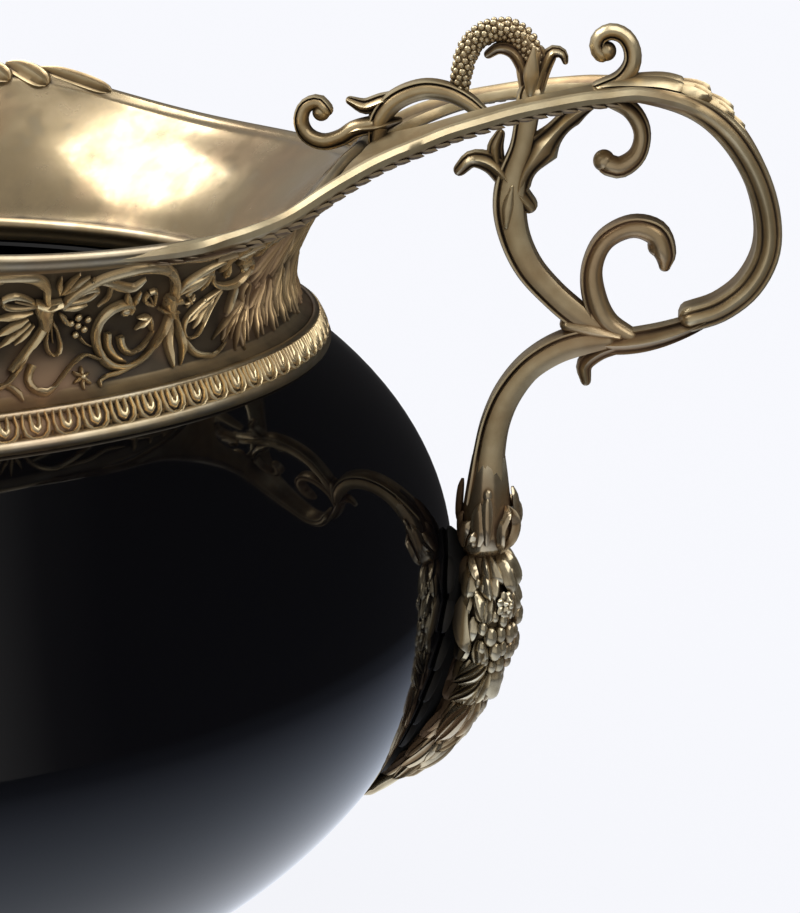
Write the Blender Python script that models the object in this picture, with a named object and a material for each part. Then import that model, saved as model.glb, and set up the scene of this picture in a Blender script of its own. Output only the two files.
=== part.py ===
"""A round porcelain bowl in bronze mounts: a flared collar, two openwork scroll handles and a foot ring.

Metres, +Z up. The origin is the middle of the underside of the foot, where the bowl stands.
The two handles lie in the XZ plane, so the bowl is symmetrical about XZ and about YZ.
"""

import math

import bmesh
import bpy
from mathutils import Matrix, Vector

MM = 0.001
SEGMENTS = 48  # facets round every turned shape, so that neighbours fit without overlapping
GAP = 0.3  # clearance between two pieces that are fixed together, mm

# Porcelain body, mm: two half ellipses that meet at the widest level.
BELLY_R = 166.8
BELLY_Z = 121.7
UPPER_H = 100.5
LOWER_H = 113.9
WALL = 6.0
BASE_R = 84.0
BASE_Z = 24.0
MOUTH_R = 113.0
MOUTH_Z = 191.2

# Collar, mm.
BAND_R = 134.0
BAND_Z = 182.0
WAIST_R = 123.3
WAIST_Z = 201.0
LIP_R = 112.6
LIP_Z = 194.0
RIM_R = 145.0  # at the handles; the front and back stand out by RIM_SPREAD
RIM_SPREAD = 8.5
RIM_Z = 228.0  # lowest part of the rim
FRONT_RISE = 14.7  # crest at the middle of the front and back
SPOUT_RISE = 10.0  # rise under each handle
RIM_THICK = 3.5

# Foot, mm.
FOOT_R = 98.0

# Handle, mm.
ROLL = 3.2  # half height of the rolled edge of the ears
EAR_THICK = 3.0


def clear_scene():
    for obj in list(bpy.data.objects):
        bpy.data.objects.remove(obj, do_unlink=True)


def material(name, colour, metallic, roughness):
    mat = bpy.data.materials.new(name)
    mat.use_nodes = True
    shader = mat.node_tree.nodes["Principled BSDF"]
    shader.inputs["Base Color"].default_value = (*colour, 1.0)
    shader.inputs["Metallic"].default_value = metallic
    shader.inputs["Roughness"].default_value = roughness
    return mat


def add_object(name, bm, mat):
    """Scales a bmesh from mm to metres and links it as a named object."""
    bmesh.ops.scale(bm, vec=(MM, MM, MM), verts=bm.verts)
    bmesh.ops.recalc_face_normals(bm, faces=bm.faces)
    mesh = bpy.data.meshes.new(name)
    bm.to_mesh(mesh)
    bm.free()
    mesh.materials.append(mat)
    obj = bpy.data.objects.new(name, mesh)
    bpy.context.scene.collection.objects.link(obj)
    return obj


def skin(bm, rings, closed):
    """Joins rings of points into a tube. A closed run comes back to its first ring."""
    rows = [[bm.verts.new(point) for point in ring] for ring in rings]
    pairs = list(zip(rows, rows[1:]))
    if closed:
        pairs.append((rows[-1], rows[0]))
    for one, two in pairs:
        for i in range(len(one)):
            j = (i + 1) % len(one)
            bm.faces.new((one[i], one[j], two[j], two[i]))
    if not closed:
        bm.faces.new(rows[0][::-1])
        bm.faces.new(rows[-1])


def smooth(points, per):
    """Catmull-Rom points through a short list, with `per` steps from each to the next."""
    points = [Vector(p) for p in points]
    padded = [points[0] * 2 - points[1]] + points + [points[-1] * 2 - points[-2]]
    made = []
    for a, b, c, d in zip(padded, padded[1:], padded[2:], padded[3:]):
        for step in range(per):
            t = step / per
            made.append(
                0.5 * (2 * b + (c - a) * t + (2 * a - 5 * b + 4 * c - d) * t * t
                       + (3 * b - 3 * c + d - a) * t ** 3)
            )
    made.append(points[-1])
    return made


# Turned shapes -------------------------------------------------------------------------------


def ellipse_r(z, wall):
    height = (UPPER_H if z > BELLY_Z else LOWER_H) - wall
    return (BELLY_R - wall) * math.sqrt(max(0.0, 1 - ((z - BELLY_Z) / height) ** 2))


def turn(profile_at):
    """Closed ring: the profile at each angle is a loop of (radius, z) points."""
    bm = bmesh.new()
    rings = []
    for i in range(SEGMENTS):
        angle = 2 * math.pi * i / SEGMENTS
        rings.append([(r * math.cos(angle), r * math.sin(angle), z) for r, z in profile_at(angle)])
    skin(bm, rings, True)
    return bm


def porcelain():
    outer_z = [33.0, 46.0, 62.0, 84.0, 108.0, 134.0, 156.0, 172.0, 183.0, 190.2]
    inner_z = [178.0, 156.0, 128.0, 98.0, 68.0, 44.0]
    outer = [(BASE_R, BASE_Z)] + [(ellipse_r(z, 0), z) for z in outer_z] + [(MOUTH_R + 4.5, MOUTH_Z)]
    inner = [(MOUTH_R, MOUTH_Z - 0.7)] + [(ellipse_r(z, WALL), z) for z in inner_z]
    floor_r = BASE_R - 4
    bm = bmesh.new()
    rings = []
    for r, z in outer + inner + [(floor_r, BASE_Z + WALL + 1)]:
        angles = [2 * math.pi * i / SEGMENTS for i in range(SEGMENTS)]
        rings.append([(r * math.cos(a), r * math.sin(a), z) for a in angles])
    skin(bm, rings, False)
    return bm


def fold(angle):
    """Angle from the nearer handle, in degrees from 0 to 90."""
    return math.degrees(math.atan2(abs(math.sin(angle)), abs(math.cos(angle))))


def rim_radius(angle):
    return RIM_R + RIM_SPREAD * (1 - math.exp(-((fold(angle) / 28) ** 2)))


def rim_height(angle):
    front = FRONT_RISE * math.exp(-(((90 - fold(angle)) / 23) ** 2))
    spout = SPOUT_RISE * math.exp(-((fold(angle) / 20) ** 4))
    return RIM_Z + front + spout


def collar_profile(angle):
    """Band, plain hollow, waist, flare and rolled rim outside; one polished hollow curve inside."""
    top = rim_height(angle)
    edge = rim_radius(angle)
    band = [(132.4, 183.6), (BAND_R - 0.3, BAND_Z), (BAND_R, 184.2), (132.2, 189.2), (128.6, 190.6)]
    low = [(124.8, 194.2), (WAIST_R, WAIST_Z)]
    span = top - RIM_THICK - WAIST_Z
    flare = []
    for reach, rise in ((0.09, 0.30), (0.25, 0.56), (0.42, 0.79), (0.70, 0.91), (0.97, 0.99)):
        flare.append((WAIST_R + (edge - WAIST_R) * reach, WAIST_Z + span * rise))
    roll = [(edge, top - RIM_THICK * 0.5), (edge - 1.6, top)]
    hollow = []
    for reach, rise in ((0.77, 0.91), (0.55, 0.77), (0.33, 0.48), (0.15, 0.21), (0.0, 0.0)):
        hollow.append((LIP_R + (edge - 3 - LIP_R) * reach, LIP_Z + (top - LIP_Z) * rise))
    seat = [(LIP_R + 1.2, MOUTH_Z + 1.0), (120.6, MOUTH_Z + GAP)]
    return band + low + flare + roll + hollow + seat


def foot_profile(angle):
    top = BASE_Z - GAP
    outside = [(FOOT_R, 0.0), (FOOT_R, 4.5), (94.0, 6.5), (89.0, 11.5), (86.6, 17.0), (89.0, top)]
    inside = [(79.0, top), (80.5, 12.0), (87.0, 0.0)]
    return outside + inside


# Handles -------------------------------------------------------------------------------------


def ear_height(x):
    """Level of the ear's rolled edge at a distance x from the axis."""
    stations = ((124, 227.6), (133, 229.6), (139, 232.2), (146, 236.8), (155, 241), (170, 246),
                (186, 249.6), (201, 251.6), (216, 252.2), (222, 251.2))
    for (x0, z0), (x1, z1) in zip(stations, stations[1:]):
        if x <= x1:
            return z0 + (z1 - z0) * (x - x0) / (x1 - x0)
    return stations[-1][1]


def ear(side):
    """Half of a handle's ear: a thin plate with a rolled outer edge, from the rim out to the crest."""
    stations = []
    joined = (((129.5, 84.6), 33), ((136, 76.0), 28), ((144, 67.2), 20), ((152, 59.6), 12), ((157, 55.4), 5))
    for outer, degrees in joined:
        angle = math.radians(degrees)
        r = rim_radius(angle) + GAP + 0.15
        stations.append((outer, (r * math.cos(angle), r * math.sin(angle)), rim_height(angle) - 0.4))
    edge = ((159, 53.6), (161, 52.0), (164, 49.4), (169, 45.2), (176, 39.6),
            (184, 33.8), (192, 28.6), (200, 24.2), (206, 21.0), (214, 17.4))
    hole = ((145.9, -0.8), (150, -0.8), (153.5, 9.0), (161, 18.5), (171, 20.5),
            (181, 16.6), (190, 10.8), (199, 3.6), (203, -0.8), (212, -0.8))
    for outer, inner in zip(edge, hole):
        stations.append((outer, inner, ear_height(inner[0]) + 1.6))
    rings = []
    for (ox, oy), (ix, iy), z_in in stations:
        z_out = ear_height(ox)
        away = Vector((ox - ix, oy - iy, 0))
        roll = min(ROLL, away.length * 0.5)
        back = away.normalized() * roll
        z_step = z_out + (z_in - z_out) * roll / max(away.length, roll)
        rings.append([
            (ox, side * oy, z_out - roll * 0.7),
            (ox, side * oy, z_out + roll * 0.5),
            (ox - back.x * 0.5, side * (oy - back.y * 0.5), z_out + roll * 0.75),
            (ox - back.x * 1.6, side * (oy - back.y * 1.6), z_step + 0.4),
            (ix, side * iy, z_in),
            (ix, side * iy, z_in - EAR_THICK),
            (ox - back.x * 1.6, side * (oy - back.y * 1.6), z_step - EAR_THICK),
        ])
    bm = bmesh.new()
    skin(bm, rings, False)
    return bm


def bar(path, per=2, sides=6, flat=False):
    """Bar in the handle's plane. Each point is (x, z, thickness in the plane, width across it)."""
    points = smooth(path, per)
    rings = []
    for i, point in enumerate(points):
        ahead = points[min(i + 1, len(points) - 1)]
        behind = points[max(i - 1, 0)]
        along = Vector((ahead[0] - behind[0], ahead[1] - behind[1])).normalized()
        out = Vector((-along.y, along.x))
        ring = []
        for k in range(sides):
            angle = 2 * math.pi * (k + 0.5) / sides
            c, s = math.cos(angle), math.sin(angle)
            if flat:
                c = math.copysign(min(1.0, abs(c) * 1.35), c)
                s = math.copysign(min(1.0, abs(s) * 1.35), s)
            swell = point[2] / 2 * c
            ring.append((point[0] + out.x * swell, point[3] / 2 * s, point[1] + out.y * swell))
        rings.append(ring)
    bm = bmesh.new()
    skin(bm, rings, False)
    return bm


def curl(centre, start, turn_degrees, r0, r1, t0, t1, width, steps=8):
    """Scroll that winds in from radius r0 to r1, beginning at an angle in degrees."""
    path = []
    for i in range(steps):
        t = i / (steps - 1)
        angle = math.radians(start + turn_degrees * t)
        r = r0 + (r1 - r0) * t ** 0.8
        path.append((centre[0] + r * math.cos(angle), centre[1] + r * math.sin(angle),
                     t0 + (t1 - t0) * t, width * (1 - 0.25 * t)))
    return path


def loft_drop(levels, sides=12, lobes=0.0):
    """Upright foliage drop from (z, middle x, half thickness, half width) levels."""
    rings = []
    for n, (z, x, tx, wy) in enumerate(levels):
        ring = []
        for k in range(sides):
            angle = 2 * math.pi * k / sides
            swell = 1 + (lobes if (k + n) % 2 else -lobes)
            ring.append((x + tx * swell * math.cos(angle), wy * swell * math.sin(angle), z))
        rings.append(ring)
    bm = bmesh.new()
    skin(bm, rings, False)
    return bm


def union(name, shapes, mat):
    """One closed body from overlapping shapes."""
    first = add_object(name, shapes[0], mat)
    for shape in shapes[1:]:
        other = add_object(name + "_add", shape, mat)
        boolean = first.modifiers.new("join", "BOOLEAN")
        boolean.operation = "UNION"
        boolean.solver = "EXACT"
        boolean.object = other
        graph = bpy.context.evaluated_depsgraph_get()
        joined = bpy.data.meshes.new_from_object(first.evaluated_get(graph))
        first.modifiers.clear()
        first.data = joined
        bpy.data.objects.remove(other, do_unlink=True)
    tidy = bmesh.new()
    tidy.from_mesh(first.data)
    bmesh.ops.remove_doubles(tidy, verts=tidy.verts, dist=2e-5)
    bmesh.ops.dissolve_degenerate(tidy, edges=tidy.edges, dist=1e-5)
    bmesh.ops.triangulate(tidy, faces=tidy.faces)
    tidy.to_mesh(first.data)
    tidy.free()
    return first


def handle_shapes():
    strap = [(206, 252, 6, 40), (216, 251.6, 7, 33), (226, 248.8, 8, 27), (235, 242.6, 7.5, 22),
             (242, 233, 6.5, 19), (246, 222, 6.4, 17), (246.4, 212, 6.6, 16), (242, 203, 7, 15),
             (233, 196, 8, 14), (221, 190.4, 8, 13), (208, 188, 8, 12), (197, 186.4, 7.6, 11),
             (189.6, 183, 7.6, 10.5), (183.6, 177, 7.6, 10.5), (180, 169.4, 7.8, 10.5), (177.6, 160.4, 8.6, 11),
             (176, 152, 10, 12), (175.8, 145.2, 12.5, 15)]
    stem = [(186.4, 252, 6.5, 7), (185, 243, 7, 8), (181.6, 233, 10, 10), (181.2, 223, 8, 9),
            (182.6, 214, 7.4, 8.4), (187, 205.4, 6.6, 8), (194, 198.6, 6, 7.6), (204, 191, 5, 7)]
    scroll = [(209, 189.4, 6, 8), (203.4, 197.6, 6.2, 8), (202.6, 207.2, 6, 8), (206, 214.4, 6.4, 8),
              (213.6, 217.2, 6.6, 8.4), (220, 213.6, 5.6, 8), (221, 207, 4, 6)]
    hook = [(213, 251, 5, 8), (214.6, 240.6, 5, 7), (211.6, 232.6, 5.4, 7),
            (204.2, 233.4, 5.4, 7), (202.6, 235.6, 3, 5)]
    leaf_left = [(184, 226, 5, 8), (179, 231.4, 5, 8), (172.4, 233.6, 4.4, 7), (167, 230.8, 3, 5)]
    leaf_right = [(183, 224, 5, 10), (188.6, 234, 7, 14), (195.6, 241.4, 6, 14), (201, 249, 4, 10)]
    droop = [(206, 185.6, 6, 7), (201.4, 181, 4.4, 6), (202.4, 175.4, 2.6, 4)]
    top_curl = [(209.6, 250, 8, 8), (211, 259.6, 4.6, 7)] + curl((205.8, 262.4), 8, 265, 5.4, 3.0, 4.4, 4.0, 7, 7)
    shapes = [ear(1), ear(-1), bar(strap, 1, 8, True), bar(stem), bar(scroll), bar(hook), bar(leaf_left, 1),
              bar(leaf_right, 1), bar(droop, 1), bar(top_curl, 1)]
    for x, z, size in ((219.5, 253.4, 5.4), (227.5, 250.6, 5.0), (234.5, 245.2, 4.2)):
        lobe = bmesh.new()
        bmesh.ops.create_icosphere(lobe, subdivisions=1, radius=size)
        bmesh.ops.scale(lobe, vec=(1.1, 1.7, 0.75), verts=lobe.verts)
        bmesh.ops.translate(lobe, vec=(x, 0, z), verts=lobe.verts)
        shapes.append(lobe)
    return shapes


def sprig_shapes():
    """Open sprig on top of the ear: a curl over the rim, an arched leaf and a bent seed pod in its cup."""
    base = [(134, 240.8, 4.2, 6), (141.5, 242.8, 4.8, 8), (148, 243.4, 4.8, 9)]
    left_curl = [(141.5, 242.4, 4.6, 6)] + curl((131.2, 244.0), 300, -300, 6.0, 2.6, 4.0, 4.4, 6, 8)
    arch = [(147, 241.4, 6, 9), (147.8, 246.6, 5.6, 9), (152.4, 250.6, 5.4, 8.6), (160, 251.6, 5.2, 8),
            (167.6, 248.8, 5, 7), (172.6, 244.4, 4.4, 6), (175.4, 240.6, 3.6, 5)]
    pod = [(170.4, 248.6, 4.4, 5), (169, 255.6, 5, 5.4), (171.2, 262.6, 5, 5.4), (177.4, 266.6, 5, 5.4),
           (183.4, 265.2, 5, 5.4), (186.2, 259, 6, 6.4), (187, 253.6, 8, 8)]
    cup_left = [(185.6, 255.6, 5, 6), (181.6, 260.4, 4, 6), (175.4, 260.6, 2.4, 4)]
    cup_right = [(187.6, 255.6, 5, 6), (190.6, 260.4, 4, 6), (194, 259, 2.4, 4)]
    parts = [bar(arch, 1), bar(base, 1), bar(left_curl, 1), bar(pod, 1), bar(cup_left, 1), bar(cup_right, 1)]
    return parts


def drop_shapes():
    """Calyx, flower and leaf drop that lies down the side of the body."""
    calyx = [(144.6, 175.6, 6.4, 8), (138, 176.6, 8.6, 11), (131, 176.8, 8.2, 10.4), (126.4, 176.2, 5.4, 7)]
    leaves = [(129, 175.8, 5.6, 8), (122, 176.2, 7.6, 13.5), (113, 176.8, 8.4, 16.5), (103, 176.2, 7.8, 15.5),
              (93, 173.2, 7.4, 13.6), (83, 168.6, 6.8, 11.4), (74, 162, 6.2, 9.4), (66, 153.6, 4.8, 7),
              (57, 142.6, 1.6, 2.4)]
    shapes = [loft_drop(leaves, 12, 0.05), loft_drop(calyx, 12, 0.06)]
    return shapes


def turned_half(source, name):
    """Copy of a piece for the other handle, turned half round the axis."""
    mesh = source.data.copy()
    mesh.transform(Matrix.Rotation(math.pi, 4, "Z"))
    obj = bpy.data.objects.new(name, mesh)
    bpy.context.scene.collection.objects.link(obj)
    return obj


clear_scene()
glaze = material("black_glaze", (0.006, 0.006, 0.008), 0.0, 0.08)
bronze = material("worn_bronze", (0.36, 0.29, 0.17), 1.0, 0.32)
foot_bronze = material("foot_bronze", (0.34, 0.27, 0.16), 1.0, 0.34)
handle_bronze = material("handle_bronze", (0.35, 0.28, 0.17), 1.0, 0.34)
sprig_bronze = material("sprig_bronze", (0.33, 0.26, 0.16), 1.0, 0.36)
drop_bronze = material("drop_bronze", (0.32, 0.25, 0.15), 1.0, 0.38)

add_object("porcelain_bowl", porcelain(), glaze)
add_object("rim_collar", turn(collar_profile), bronze)
add_object("foot_ring", turn(foot_profile), foot_bronze)
handle = union("handle_right", handle_shapes(), handle_bronze)
sprig = union("sprig_right", sprig_shapes(), sprig_bronze)
drop = union("drop_right", drop_shapes(), drop_bronze)
turned_half(handle, "handle_left")
turned_half(sprig, "sprig_left")
turned_half(drop, "drop_left")
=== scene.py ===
# %% [markdown]
# # A porcelain bowl in bronze mounts
#
# A round black porcelain bowl stands on a bronze foot. A bronze collar with a polished, flared rim
# sits on its shoulder, and two openwork scroll handles hang from the rim and end in bunches of
# flowers that lie against the porcelain.
#
# Each part is turned, swept or bent in millimetres from a few named sizes. It is scaled to metres
# when it is finished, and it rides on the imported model, which gives the object's true place.

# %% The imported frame
import math
import random

import bmesh
import bpy
from mathutils import Matrix, Vector


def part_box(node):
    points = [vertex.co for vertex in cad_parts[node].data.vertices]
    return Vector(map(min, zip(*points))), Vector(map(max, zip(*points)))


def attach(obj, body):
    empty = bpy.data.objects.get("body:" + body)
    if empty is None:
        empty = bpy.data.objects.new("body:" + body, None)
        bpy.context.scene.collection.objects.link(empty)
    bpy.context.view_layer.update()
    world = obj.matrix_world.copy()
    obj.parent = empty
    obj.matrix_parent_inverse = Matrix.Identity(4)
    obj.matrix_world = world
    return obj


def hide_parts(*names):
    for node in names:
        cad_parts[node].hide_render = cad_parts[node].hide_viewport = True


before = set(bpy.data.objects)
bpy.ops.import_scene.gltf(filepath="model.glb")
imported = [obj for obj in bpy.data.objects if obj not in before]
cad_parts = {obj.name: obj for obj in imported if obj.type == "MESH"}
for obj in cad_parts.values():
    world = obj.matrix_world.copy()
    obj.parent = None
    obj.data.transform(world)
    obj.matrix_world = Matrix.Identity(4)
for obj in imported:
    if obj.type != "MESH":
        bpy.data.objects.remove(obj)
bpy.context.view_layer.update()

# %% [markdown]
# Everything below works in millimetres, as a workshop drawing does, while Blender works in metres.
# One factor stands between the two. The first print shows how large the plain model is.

MM = 0.001

# %% [markdown]
# ## The sizes that everything follows
#
# The bowl is a solid of revolution, so its sizes are radii and heights. The levels come from the
# frame, so that the ornament sits where the plain solids are, and the rest are named here once.

# %% Driving sizes, in mm
collar_low, collar_high = (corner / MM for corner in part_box("rim_collar"))
porcelain_low, porcelain_high = (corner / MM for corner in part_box("porcelain_bowl"))

BELLY_R = 166.8  # widest radius of the porcelain
BELLY_Z = 121.7
UPPER_H = 100.5  # half height of the upper half ellipse
LOWER_H = 113.9
WALL = 6.0
BASE_R = 84.0
BASE_Z = porcelain_low.z
NECK_Z = porcelain_high.z
NECK_R = 113.0

BAND_R = 134.0
BAND_Z = collar_low.z
WAIST_R = 123.3
WAIST_Z = 201.0
LIP_R = 112.6
RIM_R = 145.0  # at the handles
RIM_SPREAD = 8.5  # how much wider the rim is at the front and the back
RIM_Z = 228.0  # lowest part of the rim
FRONT_RISE = collar_high.z - RIM_Z
SPOUT_RISE = 10.0
print("band at", round(BAND_Z, 1), "mm, crest of the rim at", round(collar_high.z, 1), "mm")

# %% [markdown]
# ## Three small helpers
#
# A path is drawn through a few points with a Catmull-Rom curve, which passes through every one of
# them. It is then cut into even steps, so that the facets of a tube have the same length. A curve
# object could do it too, but these points can also carry a width or a rise along the way.

# %% Paths
CUTS = 12  # fine cuts between two control points


def between(a, b, c, d, t):
    """The point at a share t of the way from b to c, on a smooth curve through a, b, c and d."""
    return 0.5 * (2 * b + (c - a) * t + (2 * a - 5 * b + 4 * c - d) * t * t
                  + (3 * b - 3 * c + d - a) * t ** 3)


def curve_through(points, step):
    """Even stations on a smooth curve through a few points of any number of values."""
    points = [Vector(point) for point in points]
    padded = [points[0] * 2 - points[1]] + points + [points[-1] * 2 - points[-2]]
    fine = []
    for a, b, c, d in zip(padded, padded[1:], padded[2:], padded[3:]):
        fine += [between(a, b, c, d, k / CUTS) for k in range(CUTS)]
    fine.append(points[-1])
    travelled = [0.0]
    for one, two in zip(fine, fine[1:]):
        travelled.append(travelled[-1] + (Vector(two[:3]) - Vector(one[:3])).length)
    count = max(2, round(travelled[-1] / step))
    stations = []
    j = 0
    for i in range(count + 1):
        wanted = travelled[-1] * i / count
        while j < len(fine) - 2 and travelled[j + 1] < wanted:
            j += 1
        share = (wanted - travelled[j]) / max(travelled[j + 1] - travelled[j], 1e-9)
        stations.append(fine[j].lerp(fine[j + 1], min(1.0, share)))
    return stations


def directions(stations):
    """Unit directions of travel at each station."""
    found = []
    for i in range(len(stations)):
        ahead = Vector(stations[min(i + 1, len(stations) - 1)][:3])
        behind = Vector(stations[max(i - 1, 0)][:3])
        found.append((ahead - behind).normalized())
    return found


print("a straight path of 10 mm in 2 mm steps:",
      len(curve_through(((0, 0, 0), (5, 0, 0), (10, 0, 0)), 2)))

# %% [markdown]
# A swept piece could be a curve object with a bevel. Here the end face of a tube is extruded from
# station to station instead, and each new end is laid on the outline that belongs there. So the
# section can change on the way: a stem swells, a leaf opens, and a scroll thins to its tip.

# %% Sweeping and turning


def swept(rings):
    """A closed tube: its end face is extruded from ring to ring."""
    bm = bmesh.new()
    end = bm.faces.new([bm.verts.new(point) for point in rings[0]])
    start_edges = list(end.edges)
    for ring in rings[1:]:
        end = bmesh.ops.extrude_discrete_faces(bm, faces=[end])["faces"][0]
        for vert, point in zip(end.verts, ring):
            vert.co = point
    bmesh.ops.holes_fill(bm, edges=[edge for edge in start_edges if edge.is_valid], sides=0)
    bmesh.ops.recalc_face_normals(bm, faces=bm.faces)
    return bm


def turned(profile, steps):
    """A closed outline of (radius, height) points, spun once round the upright axis."""
    bm = bmesh.new()
    verts = [bm.verts.new((r, 0, z)) for r, z in profile]
    edges = [bm.edges.new((one, two)) for one, two in zip(verts, verts[1:] + verts[:1])]
    bmesh.ops.spin(bm, geom=verts + edges, cent=(0, 0, 0), axis=(0, 0, 1), angle=2 * math.pi,
                   steps=steps, use_merge=True)
    bmesh.ops.remove_doubles(bm, verts=bm.verts, dist=1e-4)
    bmesh.ops.recalc_face_normals(bm, faces=bm.faces)
    return bm


trial_cube = swept([[(0, 0, z), (1, 0, z), (1, 1, z), (0, 1, z)] for z in (0, 1)])
print("a square swept to a cube has", len(trial_cube.faces), "faces")
trial_cube.free()

# %% [markdown]
# A casting has many small features. Each is made as a mesh of its own, and they are gathered into
# one mesh that is scaled to metres at the end. The parts overlap, as they do when a modeller presses
# wax on wax. A boolean union could merge them, but it is slow on hundreds of leaves.

# %% Gathering and finishing


def add_to(whole, part, move=None):
    """Copies one bmesh into another, turned or moved by a matrix on the way, and frees it."""
    mesh = bpy.data.meshes.new("part")
    part.to_mesh(mesh)
    part.free()
    if move:
        mesh.transform(move)
    whole.from_mesh(mesh)
    bpy.data.meshes.remove(mesh)


def finish_piece(name, bm, finish, stands_for, sharp=38):
    """Scales a piece to metres, shades it smooth up to a crease angle and hangs it on the frame."""
    bmesh.ops.recalc_face_normals(bm, faces=bm.faces)
    bmesh.ops.scale(bm, vec=(MM, MM, MM), verts=bm.verts)
    mesh = bpy.data.meshes.new(name)
    bm.to_mesh(mesh)
    bm.free()
    mesh.materials.append(finish)
    mesh.shade_smooth()
    mesh.set_sharp_from_angle(angle=math.radians(sharp))
    piece = bpy.data.objects.new(name, mesh)
    bpy.context.scene.collection.objects.link(piece)
    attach(piece, "root")
    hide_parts(*stands_for)
    print(f"{name}: {sum(len(face.vertices) - 2 for face in mesh.polygons)} triangles")
    return piece


print("one millimetre is", MM, "m in the finished pieces")

# %% [markdown]
# ## The finishes
#
# Colours are written as sRGB hex, as a picker shows them, and turned to the linear values that the
# shader wants. One function adds any node with its settings and links.

# %% Colours and nodes


def linear(hex_colour):
    """An sRGB colour such as "#C9B48E" as linear RGBA."""
    parts = [int(hex_colour[i:i + 2], 16) / 255 for i in (1, 3, 5)]
    return (*(c / 12.92 if c <= 0.04045 else ((c + 0.055) / 1.055) ** 2.4 for c in parts), 1.0)


def add_node(tree, kind, inputs=None, steps=(), **settings):
    """One shader node with its settings and links.

    An input may be a value or the output of another node. The steps of a colour ramp are
    (place, hex colour) pairs.
    """
    node = tree.nodes.new(kind)
    for name, value in settings.items():
        setattr(node, name, value)
    for name, value in (inputs or {}).items():
        if isinstance(value, bpy.types.NodeSocket):
            tree.links.new(value, node.inputs[name])
        else:
            node.inputs[name].default_value = value
    if steps:
        stops = node.color_ramp.elements
        (stops[0].position, first), (stops[1].position, last) = steps[0], steps[-1]
        stops[0].color, stops[1].color = linear(first), linear(last)
        for place, colour in steps[1:-1]:
            stops.new(place).color = linear(colour)
    return node


print("mid grey is", [round(c, 3) for c in linear("#808080")])

# %% [markdown]
# ** Antiqued cast bronze.** The founder dips the casting until it goes dark brown, and then rubs it,
# so the hollows stay dark and every high place shines like pale brass. The wear could be painted by
# hand on each piece. Here ambient occlusion finds the hollows and pointiness finds the edges, and
# the two drive one colour ramp and the roughness, so that one recipe serves every casting. The dark
# that ambient occlusion gives the hollows is partly that patina and partly painted shade. On low
# relief the height above the ground is kept in an attribute, because the ground is dark all over.
#
# The grain of the sand mould is about half a millimetre. It is drawn at nearly one, so that it
# shows, and it is a bump. The lathe lines round the rim are a tenth of a millimetre apart, and they
# are drawn coarser for the same reason. Stains in the patina are about a centimetre wide, and the
# patches where the copper shows are nearly four.

# %% Antiqued bronze
SAND_GRAIN = 0.9  # mm
LATHE_LINE = 1.6
STAIN = 9
COPPER_PATCH = 38


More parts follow.
